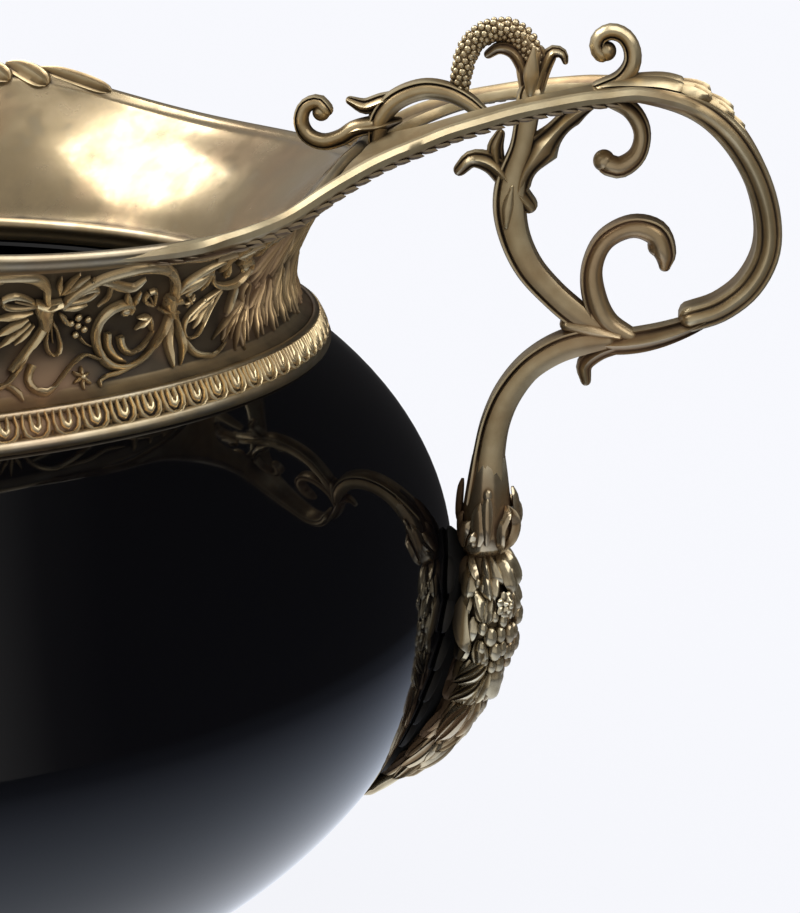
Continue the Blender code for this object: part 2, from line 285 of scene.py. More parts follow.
def antiqued_bronze(name, tones, shine, reach, relief=False, brushed=0.0, bare=0.45, grain=0.35,
                    blush=0.45):
    """Metal from dark hollows to edges bright from rubbing. tones are three hex colours, shine two
    roughnesses.

    reach is the width in mm of a hollow that stays dark, as patina and as painted shade, bare how
    much metal shows through the patina there, brushed the depth of the lathe lines, grain that of the
    sand grain, and blush how far the copper shows in patches.
    """
    mat = bpy.data.materials.new(name)
    mat.use_nodes = True
    tree = mat.node_tree
    shader = tree.nodes["Principled BSDF"]
    place = add_node(tree, "ShaderNodeTexCoord").outputs["Object"]
    # Ambient occlusion darkens the hollows: partly the patina there, partly painted shade.
    air = add_node(tree, "ShaderNodeAmbientOcclusion", {"Distance": reach * MM}, samples=6)
    airy = add_node(tree, "ShaderNodeMapRange",
                    {"Value": air.outputs["AO"], "From Min": 0.30, "From Max": 0.95,
                     "To Max": 0.68})
    point = add_node(tree, "ShaderNodeNewGeometry").outputs["Pointiness"]
    edge = add_node(tree, "ShaderNodeMapRange", {"Value": point, "From Min": 0.47, "From Max": 0.58,
                                                 "To Min": -0.35, "To Max": 0.35})
    stain = add_node(tree, "ShaderNodeTexNoise",
                     {"Vector": place, "Scale": 1 / (STAIN * MM), "Detail": 5.0})
    blot = add_node(tree, "ShaderNodeMapRange", {"Value": stain.outputs["Fac"], "From Min": 0.3,
                                                 "From Max": 0.7, "To Min": -0.16, "To Max": 0.1})
    wear_and_hollow_shade = add_node(tree, "ShaderNodeMath", {0: airy.outputs["Result"], 1: edge.outputs["Result"]},
                    operation="ADD")
    wear_and_hollow_shade = add_node(tree, "ShaderNodeMath", {0: wear_and_hollow_shade.outputs[0], 1: blot.outputs["Result"]},
                    operation="ADD")
    if relief:
        # On the flower drop the height attribute is painted shade: low on the side turned to the
        # bowl.
        height = add_node(tree, "ShaderNodeAttribute", attribute_name="height")
        lift = add_node(tree, "ShaderNodeMapRange",
                        {"Value": height.outputs["Fac"], "From Max": 0.55, "To Min": 0.12,
                         "To Max": 1.0})
        wear_and_hollow_shade = add_node(tree, "ShaderNodeMath", {0: wear_and_hollow_shade.outputs[0], 1: lift.outputs["Result"]},
                        operation="MULTIPLY")
    wear_and_hollow_shade.use_clamp = True
    metal = add_node(tree, "ShaderNodeValToRGB", {"Fac": wear_and_hollow_shade.outputs[0]},
                     ((0.0, tones[0]), (0.55, tones[1]), (1.0, tones[2])))
    ruddy = add_node(tree, "ShaderNodeTexNoise",
                     {"Vector": place, "Scale": 1 / (COPPER_PATCH * MM), "Detail": 2.0})
    patches = add_node(tree, "ShaderNodeMapRange",
                       {"Value": ruddy.outputs["Fac"], "From Min": 0.48, "From Max": 0.7,
                        "To Max": blush})
    # On a colour mix the factor is input 0, the two colours are 6 and 7, and the result is output 2.
    tinted = add_node(tree, "ShaderNodeMix", {0: patches.outputs["Result"],
                                              6: metal.outputs["Color"], 7: linear("#A4805F")},
                      data_type="RGBA")
    tree.links.new(tinted.outputs[2], shader.inputs["Base Color"])
    rough = add_node(tree, "ShaderNodeMapRange",
                     {"Value": wear_and_hollow_shade.outputs[0], "From Max": 0.6, "To Min": shine[0],
                      "To Max": shine[1]})
    if brushed:
        # Only the places with polish 1 are burnished. The mouldings keep a satin face.
        polish = add_node(tree, "ShaderNodeAttribute", attribute_name="polish")
        satin = add_node(tree, "ShaderNodeMapRange",
                         {"Value": polish.outputs["Fac"], "To Min": 0.36, "To Max": 0.0})
        rough = add_node(tree, "ShaderNodeMath",
                         {0: rough.outputs["Result"], 1: satin.outputs["Result"]},
                         operation="MAXIMUM")
    tree.links.new(rough.outputs[0], shader.inputs["Roughness"])
    metallic = add_node(tree, "ShaderNodeMapRange",
                        {"Value": wear_and_hollow_shade.outputs[0], "From Max": 0.7, "To Min": bare,
                         "To Max": min(1.0, bare + 0.4)})
    tree.links.new(metallic.outputs["Result"], shader.inputs["Metallic"])
    sand = add_node(tree, "ShaderNodeTexNoise",
                    {"Vector": place, "Scale": 1 / (SAND_GRAIN * MM), "Detail": 3.0})
    bump = add_node(tree, "ShaderNodeBump",
                    {"Height": sand.outputs["Fac"], "Strength": grain, "Distance": 0.06 * MM})
    if brushed:
        flat = add_node(tree, "ShaderNodeMapping", {"Vector": place, "Scale": (0.05, 0.05, 1.0)})
        lines = add_node(tree, "ShaderNodeTexNoise",
                         {"Vector": flat.outputs["Vector"], "Scale": 1 / (LATHE_LINE * MM),
                          "Detail": 4.0})
        bump = add_node(tree, "ShaderNodeBump",
                        {"Height": lines.outputs["Fac"], "Strength": brushed, "Distance": 0.05 * MM,
                         "Normal": bump.outputs["Normal"]})
    tree.links.new(bump.outputs["Normal"], shader.inputs["Normal"])
    print("finish:", name)
    return mat


# %% [markdown]
# Every casting has worn in its own way, so each gets its own three tones, from hollow to edge, and
# two roughnesses. The recipe stays the same.

# %% The bronzes of this bowl
# Handled and dusted for years: an even brown skin and soft highlights.
handle_bronze = antiqued_bronze("antiqued_bronze_casting", ("#2D2218", "#A08861", "#DACAA4"),
                                (0.55, 0.33), 6)
# Deep foliage: nearly black between the leaves, as patina and painted shade, bright on their
# backs, and painted dark as shade on the side turned to the bowl.
drop_bronze = antiqued_bronze("antiqued_bronze_foliage", ("#120D09", "#7A6849", "#ECDFBE"),
                              (0.46, 0.15), 3, relief=True)
# Behind the drop: nearly black, painted shade where the drop hides the light, with no metal showing.
painted_shade_bronze = antiqued_bronze("painted_shade_backing", ("#060504", "#0B0A08", "#1C1813"),
                                 (0.85, 0.60), 6, bare=0.0, blush=0.0)
leaf_bronze = antiqued_bronze("antiqued_bronze_leaf", ("#1E160F", "#877352", "#D4C4A0"),
                              (0.50, 0.27), 5)
# Under the edge of the flange: a dull brown, darkened as painted shade under the overhang.
shaded_bronze = antiqued_bronze("antiqued_bronze_painted_shade_under_edge", ("#1A120D", "#5A4937", "#A08C6C"),
                                (0.58, 0.34), 3, bare=0.2, blush=0.2)
# Low relief: golden strokes on a dark ground.
frieze_bronze = antiqued_bronze("antiqued_bronze_relief", ("#20150D", "#C6A97A", "#EAD6AA"),
                                (0.50, 0.24), 1.8, relief=True)
# The inside of the rim was burnished on the lathe, so it mirrors the room.
rim_bronze = antiqued_bronze("burnished_bronze_rim", ("#1E150E", "#AA9776", "#DFD4BA"),
                             (0.50, 0.15), 2, relief=True, brushed=0.06, bare=0.6, grain=0.05)
foot_bronze = antiqued_bronze("antiqued_bronze_foot", ("#2A2017", "#927E60", "#D0BF9B"),
                              (0.50, 0.22), 6)

# %% [markdown]
# **Black-glazed porcelain.** The glaze is a thin glass over a black body: nearly no colour of its
# own, an index of refraction of 1.5, and a mirror-smooth face. Firing leaves it very slightly
# uneven, over a few centimetres, which bends the reflections a little. A clear coat over a dark
# body would do as well, but glaze on black reflects as one surface, so the plain shader is enough.

# %% Black glaze
GLOSS_CLOUD = 14  # mm
FIRING_SWELL = 30

black_glaze = bpy.data.materials.new("black_glazed_porcelain")
black_glaze.use_nodes = True
glaze_tree = black_glaze.node_tree
glaze = glaze_tree.nodes["Principled BSDF"]
glaze.inputs["Base Color"].default_value = linear("#08080B")
glaze.inputs["IOR"].default_value = 1.5
glaze_place = add_node(glaze_tree, "ShaderNodeTexCoord").outputs["Object"]
cloud = add_node(glaze_tree, "ShaderNodeTexNoise",
                 {"Vector": glaze_place, "Scale": 1 / (GLOSS_CLOUD * MM), "Detail": 4.0})
gloss = add_node(glaze_tree, "ShaderNodeMapRange",
                 {"Value": cloud.outputs["Fac"], "From Min": 0.35, "From Max": 0.7, "To Min": 0.03,
                  "To Max": 0.07})
glaze_tree.links.new(gloss.outputs["Result"], glaze.inputs["Roughness"])
swell = add_node(glaze_tree, "ShaderNodeTexNoise",
                 {"Vector": glaze_place, "Scale": 1 / (FIRING_SWELL * MM), "Detail": 1.0})
ripple = add_node(glaze_tree, "ShaderNodeBump",
                  {"Height": swell.outputs["Fac"], "Strength": 0.5, "Distance": 0.05 * MM})
glaze_tree.links.new(ripple.outputs["Normal"], glaze.inputs["Normal"])
print("finish:", black_glaze.name)

# %% [markdown]
# ## The porcelain
#
# A potter throws the body in one piece. Its outside is two half ellipses that meet at the widest
# level. The outline runs from the foot up the outside, over the thin neck and down the inside, and
# one spin makes the hollow body with its true wall.

# %% Porcelain body


def belly_radius(z, wall=0.0):
    """Radius of the porcelain at a height, outside or a wall further in."""
    height = (UPPER_H if z > BELLY_Z else LOWER_H) - wall
    return (BELLY_R - wall) * math.sqrt(max(0.0, 1 - ((z - BELLY_Z) / height) ** 2))


def porcelain_outline():
    """From the middle of the foot up the outside, over the neck and down the inside."""
    outside = []
    inside = []
    steps = 44
    for k in range(steps + 1):
        z = BASE_Z + 6 + (NECK_Z - 1 - BASE_Z - 6) * k / steps
        outside.append((belly_radius(z), z))
    for k in range(steps + 1):
        z = NECK_Z - 10 - (NECK_Z - 10 - BASE_Z - 14) * k / steps
        inside.append((belly_radius(z, WALL), z))
    foot = [(0.01, BASE_Z + 1.5), (BASE_R - 8, BASE_Z + 1.5), (BASE_R - 6, BASE_Z),
            (BASE_R, BASE_Z)]
    neck = [(NECK_R + 3.4, NECK_Z), (NECK_R + 0.8, NECK_Z), (NECK_R, NECK_Z - 1)]
    floor = [(BASE_R + 6, BASE_Z + 9), (BASE_R - 10, BASE_Z + 7.4), (0.01, BASE_Z + WALL + 1)]
    return foot + outside + neck + inside + floor


porcelain = turned(porcelain_outline(), 220)
finish_piece("porcelain_body", porcelain, black_glaze, ["porcelain_bowl"],
             sharp=50)

# %% [markdown]
# ## The collar
#
# The collar is a casting turned true on a lathe: a band, a plain hollow, the ground of the frieze,
# and a rim that was bent afterwards, so that it rises in a crest at the front and the back and under
# each handle. It is spun as a plain ring first. Then everything above the waist is stretched to the
# height and the radius that the rim has in that direction, and the ornament will take the same
# stretch later, so it stays on the surface. Two attributes guide the finish: height is 0 on the dark
# ground of the ornament and 1 elsewhere, and polish is 1 where the metal is burnished.

# %% The bend of the rim


def fold_angle(x, y):
    """Degrees from the nearer handle, 0 at a handle and 90 at the front and the back."""
    return math.degrees(math.atan2(abs(y), abs(x)))


def rim_radius(fold):
    """The rim is an oval, narrowest at the handles."""
    return RIM_R + RIM_SPREAD * (1 - math.exp(-((fold / 28) ** 2)))


def rim_height(fold):
    """The rim is level, but for a crest at the front and the back and a spout at each handle."""
    crest = FRONT_RISE * math.exp(-(((90 - fold) / 23) ** 2))
    spout = SPOUT_RISE * math.exp(-((fold / 20) ** 4))
    return RIM_Z + crest + spout


def bend_with_rim(point):
    """Where a point of the plain turned collar goes when its rim is bent."""
    if point.z <= WAIST_Z:
        return point.copy()
    fold = fold_angle(point.x, point.y)
    share = (point.z - WAIST_Z) / (RIM_Z - WAIST_Z)
    flat = Vector((point.x, point.y, 0))
    wider = (rim_radius(fold) - RIM_R) * min(1.0, share) ** 2
    flat *= (flat.length + wider) / flat.length
    return Vector((flat.x, flat.y, WAIST_Z + share * (rim_height(fold) - WAIST_Z)))


def bend_collar(bm):
    """Bends a whole mesh, vertex by vertex."""
    for vert in bm.verts:
        vert.co = bend_with_rim(vert.co)


print("rim over a handle:", round(rim_height(0), 1), "mm; beside it:", round(rim_height(45), 1),
      "mm")

# %% [markdown]
# The plain ring has a closed outline: small rolls and fillets that a lathe tool would cut, and
# flowing stretches between them. Only the flowing stretches get more points, so the crisp corners
# stay crisp.

# %% The plain ring of the collar


def arc(cx, cz, r, start, end, count):
    """Points of (radius, height) on a round moulding, between two directions in degrees."""
    points = []
    for k in range(count + 1):
        turn = math.radians(start + (end - start) * k / count)
        points.append((cx + r * math.cos(turn), cz + r * math.sin(turn)))
    return points


# Outer face of the frieze as (radius, height), from the plain hollow up to the underside of the rim.
GROUND = [(129.0, 190.9), (127.3, 191.9), (125.6, 193.6), (124.6, 195.6), (123.6, 198.4),
          (WAIST_R, WAIST_Z), (123.9, 204.6), (125.6, 208.6), (128.1, 212.4), (131.4, 216.4),
          (135.4, 220.2), (140.0, 223.0)]


def ground_at(z):
    """Radius of the plain ground at a height, and its outward direction there."""
    rows = GROUND + [(143.7, 226.1)]
    z = min(max(z, rows[0][1] + 0.01), rows[-1][1] - 0.01)
    for (r0, z0), (r1, z1) in zip(rows, rows[1:]):
        if z <= z1:
            share = (z - z0) / (z1 - z0)
            slope = Vector((z1 - z0, r0 - r1)).normalized()
            return r0 + (r1 - r0) * share, slope
    return rows[-1][0], Vector((0.0, -1.0))


def collar_outline():
    """From the foot of the band up the outside, over the rim and down the inside to the seat."""
    low_roll = arc(BAND_R - 1.9, BAND_Z + 1.9, 1.9, -110, 60, 7)
    egg_seat = [(BAND_R - 1.9, BAND_Z + 3.7), (BAND_R - 2.0, BAND_Z + 4.6),
                (BAND_R - 2.6, BAND_Z + 6.4), (BAND_R - 3.9, BAND_Z + 7.6)]
    fillet = arc(BAND_R - 4.2, BAND_Z + 8.3, 1.1, -40, 120, 6)
    rim_roll = arc(RIM_R - 2.2, RIM_Z - 2.2, 2.2, -75, 150, 12)
    line = [(140.4, 226.2), (139.7, 226.1), (138.9, 225.3)]
    hollow = [(136.6, 223.0), (131.0, 218.2), (125.0, 211.0), (120.4, 205.0), (117.4, 200.6)]
    lip = arc(LIP_R + 2.3, 196.4, 2.3, 65, 230, 9)
    seat = [(LIP_R + 1.6, NECK_Z + 0.6), (120.0, NECK_Z + 0.4), (121.5, NECK_Z - 2.0),
            (130.0, BAND_Z + 1.2)]
    return low_roll + egg_seat + fillet + GROUND + rim_roll + line + hollow + lip + seat


def soften(outline, per):
    """Adds points to a closed outline on a smooth curve, only along its long flowing stretches."""
    made = []
    n = len(outline)
    for i in range(n):
        a, b, c, d = (Vector(outline[(i + k - 1) % n]) for k in range(4))
        made.append(tuple(b))
        if (c - b).length > 2.2 and (b - a).normalized().dot((c - b).normalized()) > 0.8:
            made += [tuple(between(a, b, c, d, k / per)) for k in range(1, per)]
    return made


collar = turned(soften(collar_outline(), 3), 288)
wear_and_shade = collar.verts.layers.float.new("height")
polish = collar.verts.layers.float.new("polish")
for vert in collar.verts:
    z, off_ground = vert.co.z, vert.co.xy.length - ground_at(vert.co.z)[0]
    in_frieze = 193.4 < z < 224.0 and abs(off_ground) < 0.8
    in_egg_seat = BAND_Z + 3.8 < z < BAND_Z + 7.5 and vert.co.xy.length > BAND_R - 4.2
    vert[wear_and_shade] = 0.0 if in_frieze or in_egg_seat else 1.0
    vert[polish] = 1.0 if z > 199.0 and off_ground < -1.2 else 0.0
bend_collar(collar)
finish_piece("collar_body", collar, rim_bronze, ["rim_collar"], sharp=42)

# %% [markdown]
# ## The frieze
#
# The scrollwork was modelled by hand, cut in the mould and cast with the collar. It runs in eighths:
# a daisy stands at each diagonal, a stem leaves it and winds into a round scroll on one side, and the
# same stem turned upside down winds away on the other side. A fan of acanthus fills the place under
# each handle, and a palmette the middle of the front and the back.
#
# One eighth is drawn flat, in degrees round the collar and millimetres of height. Every stroke is a
# swept half-round, as a modeller lays thin rolls of wax. A height map would be quicker to draw, but
# it could not undercut a stroke or keep its edge crisp.

# %% Flat strokes of the relief
DEGREE = 2.2  # mm along the waist for one degree
FULL_STROKE = 2.3  # mm, how far a full stroke stands out
DAISY_TURN = -48.8  # degrees, with a handle at 0 and the front at -90
LINE = 0.8  # thins every stroke, as filing the casting does
HALF_ROUND = ((1, -0.2), (0.9, 0.42), (0.55, 0.84), (0, 1), (-0.55, 0.84), (-0.9, 0.42), (-1, -0.2))


def stroke(whole, points, widths, height=1.9, step=1.2):
    """A raised line through (degrees, height) points. It swells and thins with the half widths."""
    span = len(points) - 1
    path = []
    for i, (turn, z) in enumerate(points):
        place = i / span * (len(widths) - 1)
        low = min(int(place), len(widths) - 2)
        width = widths[low] + (widths[low + 1] - widths[low]) * (place - low)
        path.append((turn * DEGREE, z, width))
    stations = curve_through(path, step)
    rings = []
    for station, way in zip(stations, directions([(s[0], s[1], 0) for s in stations])):
        half = max(station[2] * LINE, 0.12)
        tall = height * min(1.0, 0.3 + station[2] * 0.9)
        rings.append([(station[0] - way.y * half * side, station[1] + way.x * half * side,
                       tall * up) for side, up in HALF_ROUND])
    add_to(whole, swept(rings))


def petal(whole, root, tip, width, height=1.8, bow=0.0):
    """A petal or small leaf, pointed at root and tip. bow bends it sideways."""
    middle = ((root[0] + tip[0]) / 2 + bow / DEGREE, (root[1] + tip[1]) / 2 + bow)
    stroke(whole, (root, middle, tip), (0.3, width, width * 0.9, 0.2), height, 1.0)


def looped_petal(whole, root, tip, width):
    """A petal drawn by its raised rim, which runs out to the tip and back round a hollow."""
    height = 1.7
    (x0, y0), (x1, y1) = root, tip
    along = Vector(((x1 - x0) * DEGREE, y1 - y0))
    across = Vector((-along.y, along.x)).normalized() * width
    for sign in (1, -1):
        points = []
        for share, out in ((0.0, 0.15), (0.35, 0.75), (0.75, 1.0), (0.97, 0.5), (1.02, 0.0)):
            point = along * share + across * out * sign
            points.append((x0 + point.x / DEGREE, y0 + point.y))
        stroke(whole, points, (0.45, 0.62, 0.6), height, 1.1)
    stroke(whole, ((x0, y0), (x0 + along.x * 0.66 / DEGREE, y0 + along.y * 0.66)), (0.5, 0.2),
           height * 0.8)


def pearl(whole, turn, z, radius, rise):
    """A small ball. rise is the height of its middle as a share of the radius."""
    bead = bmesh.new()
    bmesh.ops.create_icosphere(bead, subdivisions=2, radius=radius)
    add_to(whole, bead, Matrix.Translation((turn * DEGREE, z, radius * rise)))


def floret(whole, turn, z, radius):
    """A small flower of six petals round a seed."""
    for k in range(6):
        angle = math.radians(60 * k + 20)
        tip = (turn + radius * math.cos(angle) / DEGREE, z + radius * math.sin(angle))
        petal(whole, (turn, z), tip, radius * 0.3, 1.6)
    pearl(whole, turn, z, radius * 0.3, 1.6)


def spray(whole, root, tips, width, height=1.8):
    """Leaves from one root to several tips."""
    for tip in tips:
        petal(whole, root, tip, width, height)


print("an eighth is", round(45 * DEGREE), "mm long at the waist")

# %% [markdown]
# The daisy is seen from its side: a flared cup on a thick stem, with the petals behind it. What
# grows close to it, a second stem, a long leaf, a little flower and some berries, is drawn with it,
# because it stays upright when the scroll is turned upside down.

# %% The daisy and what grows beside it


def daisy():
    """The cup on its stem, the petals behind it and what grows beside it."""
    flat = bmesh.new()
    stroke(flat, ((-48.5, 208.4), (-48.7, 210.6), (-49.2, 213.2), (-49.3, 215.0)),
           (1.3, 1.9, 2.7, 3.3), 2.9, 0.9)
    stroke(flat, ((-50.7, 215.4), (-49.4, 214.6), (-47.9, 214.9)), (0.5, 0.7, 0.5), 3.3)
    stroke(flat, ((-48.4, 209.0), (-49.2, 205.2), (-50.5, 201.7), (-51.9, 198.6)),
           (1.15, 1.1, 1.0, 0.9), 2.3)
    stroke(flat, ((-57.6, 222.6), (-55.8, 223.2), (-53.9, 223.3), (-52.3, 222.2), (-50.5, 219.3),
                  (-49.4, 215.2)), (0.5, 0.7, 0.9, 1.0, 0.9), 2.1)
    for root, tip, width in (((-50.4, 214.4), (-54.0, 216.4), 1.5),
                             ((-47.9, 209.6), (-46.6, 201.0), 1.7),
                             ((-47.6, 214.4), (-44.5, 216.6), 1.4)):
        looped_petal(flat, root, tip, width)
    for root, tip, width in (
            ((-50.6, 211.0), (-53.6, 207.2), 1.1), ((-50.2, 209.9), (-53.0, 204.6), 1.1),
            ((-49.7, 209.2), (-51.4, 204.8), 0.9), ((-50.4, 212.6), (-54.2, 211.6), 1.0),
            ((-47.2, 212.6), (-44.6, 213.0), 0.8), ((-47.3, 211.4), (-45.4, 207.6), 0.9),
            ((-48.6, 217.0), (-49.9, 221.8), 0.8), ((-48.4, 217.0), (-48.5, 222.6), 0.8),
            ((-48.2, 217.0), (-47.0, 221.4), 0.8)):
        petal(flat, root, tip, width)
    stroke(flat, ((-49.4, 199.4), (-50.1, 196.5), (-49.7, 194.2), (-48.5, 193.2), (-47.1, 194.6),
                  (-45.7, 197.0), (-44.2, 199.2), (-43.0, 199.9), (-41.5, 198.3)),
           (1.3, 1.2, 0.9, 0.7, 0.65, 0.6, 0.5), 2.0)
    stroke(flat, ((-53.6, 196.4), (-52.1, 195.2), (-51.4, 193.6), (-51.2, 192.2)),
           (0.4, 0.9, 0.9, 0.25), 1.7)
    floret(flat, -44.1, 195.1, 2.5)
    for turn, z in ((-44.9, 209.8), (-43.6, 208.8), (-44.6, 207.6), (-43.7, 206.4), (-44.6, 205.3),
                    (-45.5, 208.4)):
        pearl(flat, turn, z, 0.8, 0.8)
    stroke(flat, ((-44.0, 204.7), (-43.3, 202.9), (-42.4, 201.7)), (0.5, 0.45, 0.2), 1.6)
    stroke(flat, ((-46.3, 220.2), (-44.0, 218.9), (-42.0, 217.0), (-40.4, 216.2), (-39.6, 218.3)),
           (0.5, 0.8, 1.1, 1.1, 0.3), 1.9)
    stroke(flat, ((-43.4, 218.2), (-42.6, 214.6), (-43.1, 212.0)), (0.7, 0.6, 0.25), 1.6)
    return flat


daisy_flat = daisy()
print("the daisy:", len(daisy_flat.faces), "faces")

# %% [markdown]
# The scroll is one long stem that leaves the cup of the daisy, arches, winds in on itself and ends in
# a curl with a pearl. A knot ties it to two hanging leaves, and the thin tendrils beyond the knot
# reach as far as the fan.

# %% The scroll and its tendrils


def scroll():
    """The stem from the daisy, its round scroll, the knot that ties it and the tendrils beyond."""
    flat = bmesh.new()
    winding = (
        (-47.6, 213.8), (-46.9, 217.0), (-46.1, 219.4), (-45.1, 221.2), (-43.3, 222.5),
        (-41.2, 222.4), (-38.1, 220.4), (-34.9, 216.2), (-33.2, 212.2), (-32.3, 208.2),
        (-32.3, 204.0), (-33.4, 200.3), (-35.3, 197.4), (-37.3, 195.8), (-39.4, 195.7),
        (-40.8, 197.3), (-41.6, 200.8), (-42.1, 205.0), (-41.9, 208.8), (-41.2, 210.9),
        (-39.8, 211.7), (-38.7, 210.8), (-38.7, 209.5))
    stroke(flat, winding, (0.9, 0.85, 0.85, 0.95, 1.45, 1.1, 0.95, 1.05, 1.15, 1.15, 1.2, 1.1), 2.3)
    pearl(flat, -39.3, 209.9, 1.2, 0.9)
    petal(flat, (-38.9, 210.4), (-40.3, 214.6), 1.2, 2.1)
    petal(flat, (-38.6, 210.6), (-38.5, 214.2), 0.8, 1.9)
    stroke(flat, ((-40.5, 204.4), (-40.3, 200.8), (-39.5, 198.0), (-38.4, 196.6)),
           (0.9, 1.15, 0.95, 0.3), 2.0)
    stroke(flat, ((-38.8, 203.0), (-38.4, 200.0), (-37.6, 198.5), (-36.5, 198.7), (-35.2, 200.2),
                  (-34.1, 202.8)), (1.1, 1.05, 0.9, 0.65, 0.25), 2.0)
    looped_petal(flat, (-35.4, 209.8), (-37.3, 213.6), 1.3)
    spray(flat, (-35.0, 206.6), ((-36.8, 203.8), (-34.4, 202.8), (-36.9, 206.8)), 0.95)
    stroke(flat, ((-37.0, 195.9), (-39.6, 194.7), (-41.2, 194.5), (-42.3, 193.4), (-42.3, 192.6)),
           (0.8, 0.7, 0.65, 0.3), 1.8)
    stroke(flat, ((-42.0, 223.2), (-38.9, 223.0), (-36.9, 222.8), (-34.1, 221.8), (-31.0, 222.6)),
           (0.3, 0.7, 0.7, 0.3), 1.5)
    # The knot that ties the stem, and the two leaves that hang from it.
    stroke(flat, ((-33.9, 212.0), (-33.1, 209.2), (-32.4, 206.4)), (0.9, 1.9, 0.9), 3.2)
    for z in (210.6, 207.8):
        stroke(flat, ((-34.2, z + 0.5), (-33.0, z), (-31.7, z - 0.5)), (0.5, 0.6, 0.5), 3.6)
    stroke(flat, ((-32.1, 206.0), (-31.8, 201.6), (-32.0, 197.6), (-32.2, 193.2)),
           (0.8, 1.6, 1.3, 0.2), 2.1)
    stroke(flat, ((-31.5, 206.0), (-30.2, 201.4), (-29.8, 197.6), (-31.0, 193.4)),
           (0.6, 1.05, 1.05, 0.2), 2.1)
    stroke(flat, ((-31.2, 206.6), (-30.0, 200.6), (-28.6, 195.6), (-27.1, 194.1), (-25.1, 193.6),
                  (-22.6, 195.2)), (0.5, 0.8, 0.8, 0.75, 0.3), 1.9)
    # The tendrils beyond the knot.
    stroke(flat, ((-33.1, 211.6), (-32.6, 214.9), (-31.6, 217.0), (-30.2, 218.4), (-28.0, 219.4)),
           (0.8, 0.8, 0.7, 0.3), 1.9)
    stroke(flat, ((-31.6, 217.0), (-29.6, 216.2), (-28.0, 213.6), (-26.3, 211.4), (-23.6, 209.7),
                  (-21.2, 209.6), (-20.0, 212.0), (-21.2, 214.4), (-23.4, 214.6)),
           (0.6, 0.6, 0.7, 0.75, 0.75, 0.7, 0.6), 2.1)
    pearl(flat, -22.4, 213.9, 1.1, 0.9)
    petal(flat, (-26.9, 217.0), (-25.2, 212.6), 0.9, 1.9)
    petal(flat, (-29.8, 217.4), (-28.6, 210.9), 0.9, 1.9)
    spray(flat, (-29.2, 216.2), ((-33.0, 212.6), (-32.2, 211.0), (-30.9, 210.4)), 0.8)
    floret(flat, -29.4, 208.4, 1.7)
    for turn, z in ((-30.2, 212.6), (-29.4, 213.6), (-30.5, 210.8), (-26.8, 207.4)):
        pearl(flat, turn, z, 0.75, 0.8)
    looped_petal(flat, (-24.2, 209.2), (-29.0, 199.4), 3.4)
    spray(flat, (-25.0, 207.4), ((-28.8, 202.4), (-27.6, 200.6), (-26.0, 201.2)), 1.5, 1.3)
    spray(flat, (-26.8, 218.6), ((-23.2, 217.4), (-23.0, 220.4), (-25.4, 222.4)), 0.9)
    return flat


scroll_flat = scroll()
print("the scroll:", len(scroll_flat.faces), "faces")

# %% [markdown]
# The fan under a handle is a big acanthus leaf. Its lobes spring from the root under the spout and
# fall outwards to both sides. A lobe is a low blade with curved fingers over it, and the lobes lie
# so close that hardly any ground is left between them. The palmette is built up in the same way.

# %% Acanthus fan and palmette
FRONDS = (  # the root of each lobe, and the tips of its fingers, on one half of the fan
    ((6.0, 218.6), ((15.4, 219.6), (14.6, 217.6), (13.4, 215.8), (11.9, 214.2))),
    ((13.0, 214.6), ((18.3, 209.0), (17.0, 206.9), (15.2, 205.6), (13.3, 205.2))),
    ((8.6, 214.4), ((12.9, 208.6), (11.4, 206.4), (9.8, 205.4), (8.0, 205.6))),
    ((3.4, 215.4), ((8.8, 210.6), (7.4, 208.2), (5.6, 206.6), (3.6, 206.0))),
    ((0.6, 219.4), ((6.8, 215.4), (5.2, 212.4), (3.2, 210.6), (1.2, 209.8))),
    ((17.4, 204.6), ((24.6, 196.8), (23.0, 195.4), (21.3, 195.6))),
    ((16.6, 203.2), ((21.3, 193.0), (19.7, 192.4), (18.0, 193.8))),
    ((13.6, 204.4), ((17.2, 195.4), (15.7, 193.4), (14.1, 193.6), (12.8, 195.6))),
    ((10.0, 205.0), ((12.4, 195.0), (10.9, 193.2), (9.4, 193.5), (8.0, 195.6))),
    ((6.2, 205.4), ((8.2, 195.6), (6.7, 193.4), (5.2, 193.2), (3.8, 195.2))),
    ((2.4, 206.2), ((4.2, 196.8), (2.8, 194.4), (1.2, 193.4))),
    ((12.4, 206.0), ((16.6, 200.8), (14.8, 199.0), (12.6, 198.8))),
    ((6.8, 207.0), ((10.8, 201.2), (8.9, 199.2), (6.6, 198.8), (4.6, 200.0))),
)


def frond(whole, root, tips, side):
    """One lobe of acanthus: curved fingers of two heights over a low blade."""
    start = (side * root[0], root[1])
    middle = (side * sum(tip[0] for tip in tips) / len(tips),
              sum(tip[1] for tip in tips) / len(tips))
    petal(whole, start, middle, 3.0, 1.0)
    for k, tip in enumerate(tips):
        bow = side * 1.4 * (0.5 - k / (len(tips) - 1))
        petal(whole, start, (side * tip[0], tip[1]), 1.15, 1.45 + 0.2 * (k % 2), bow)


def acanthus_fan():
    """The fan, the stem that frames it, and the pointed petals under the flange of the handle."""
    flat = bmesh.new()
    for side in (-1, 1):
        for root, tips in FRONDS:
            frond(flat, root, tips, side)
        frame_stem = ((31.5, 220.4), (28.0, 221.8), (22.0, 223.0), (14.0, 222.4), (4.0, 221.0))
        stroke(flat, [(side * a, z) for a, z in frame_stem], (0.5, 0.9, 0.9, 0.5), 1.9)
        twig = ((21.2, 208.6), (21.0, 204.8), (21.4, 202.0))
        stroke(flat, [(side * a, z) for a, z in twig], (0.7, 1.0, 0.4), 2.1)
        looped_petal(flat, (side * 17.1, 201.0), (side * 18.2, 207.4), 1.7)
    petal(flat, (0, 220.0), (0, 192.8), 1.3, 1.8)
    for k in range(-9, 10):
        petal(flat, (k * 3.3, 225.2), (k * 3.3 + (1.6 if k < 0 else -1.6), 215.6), 1.9, 2.0)
    return flat


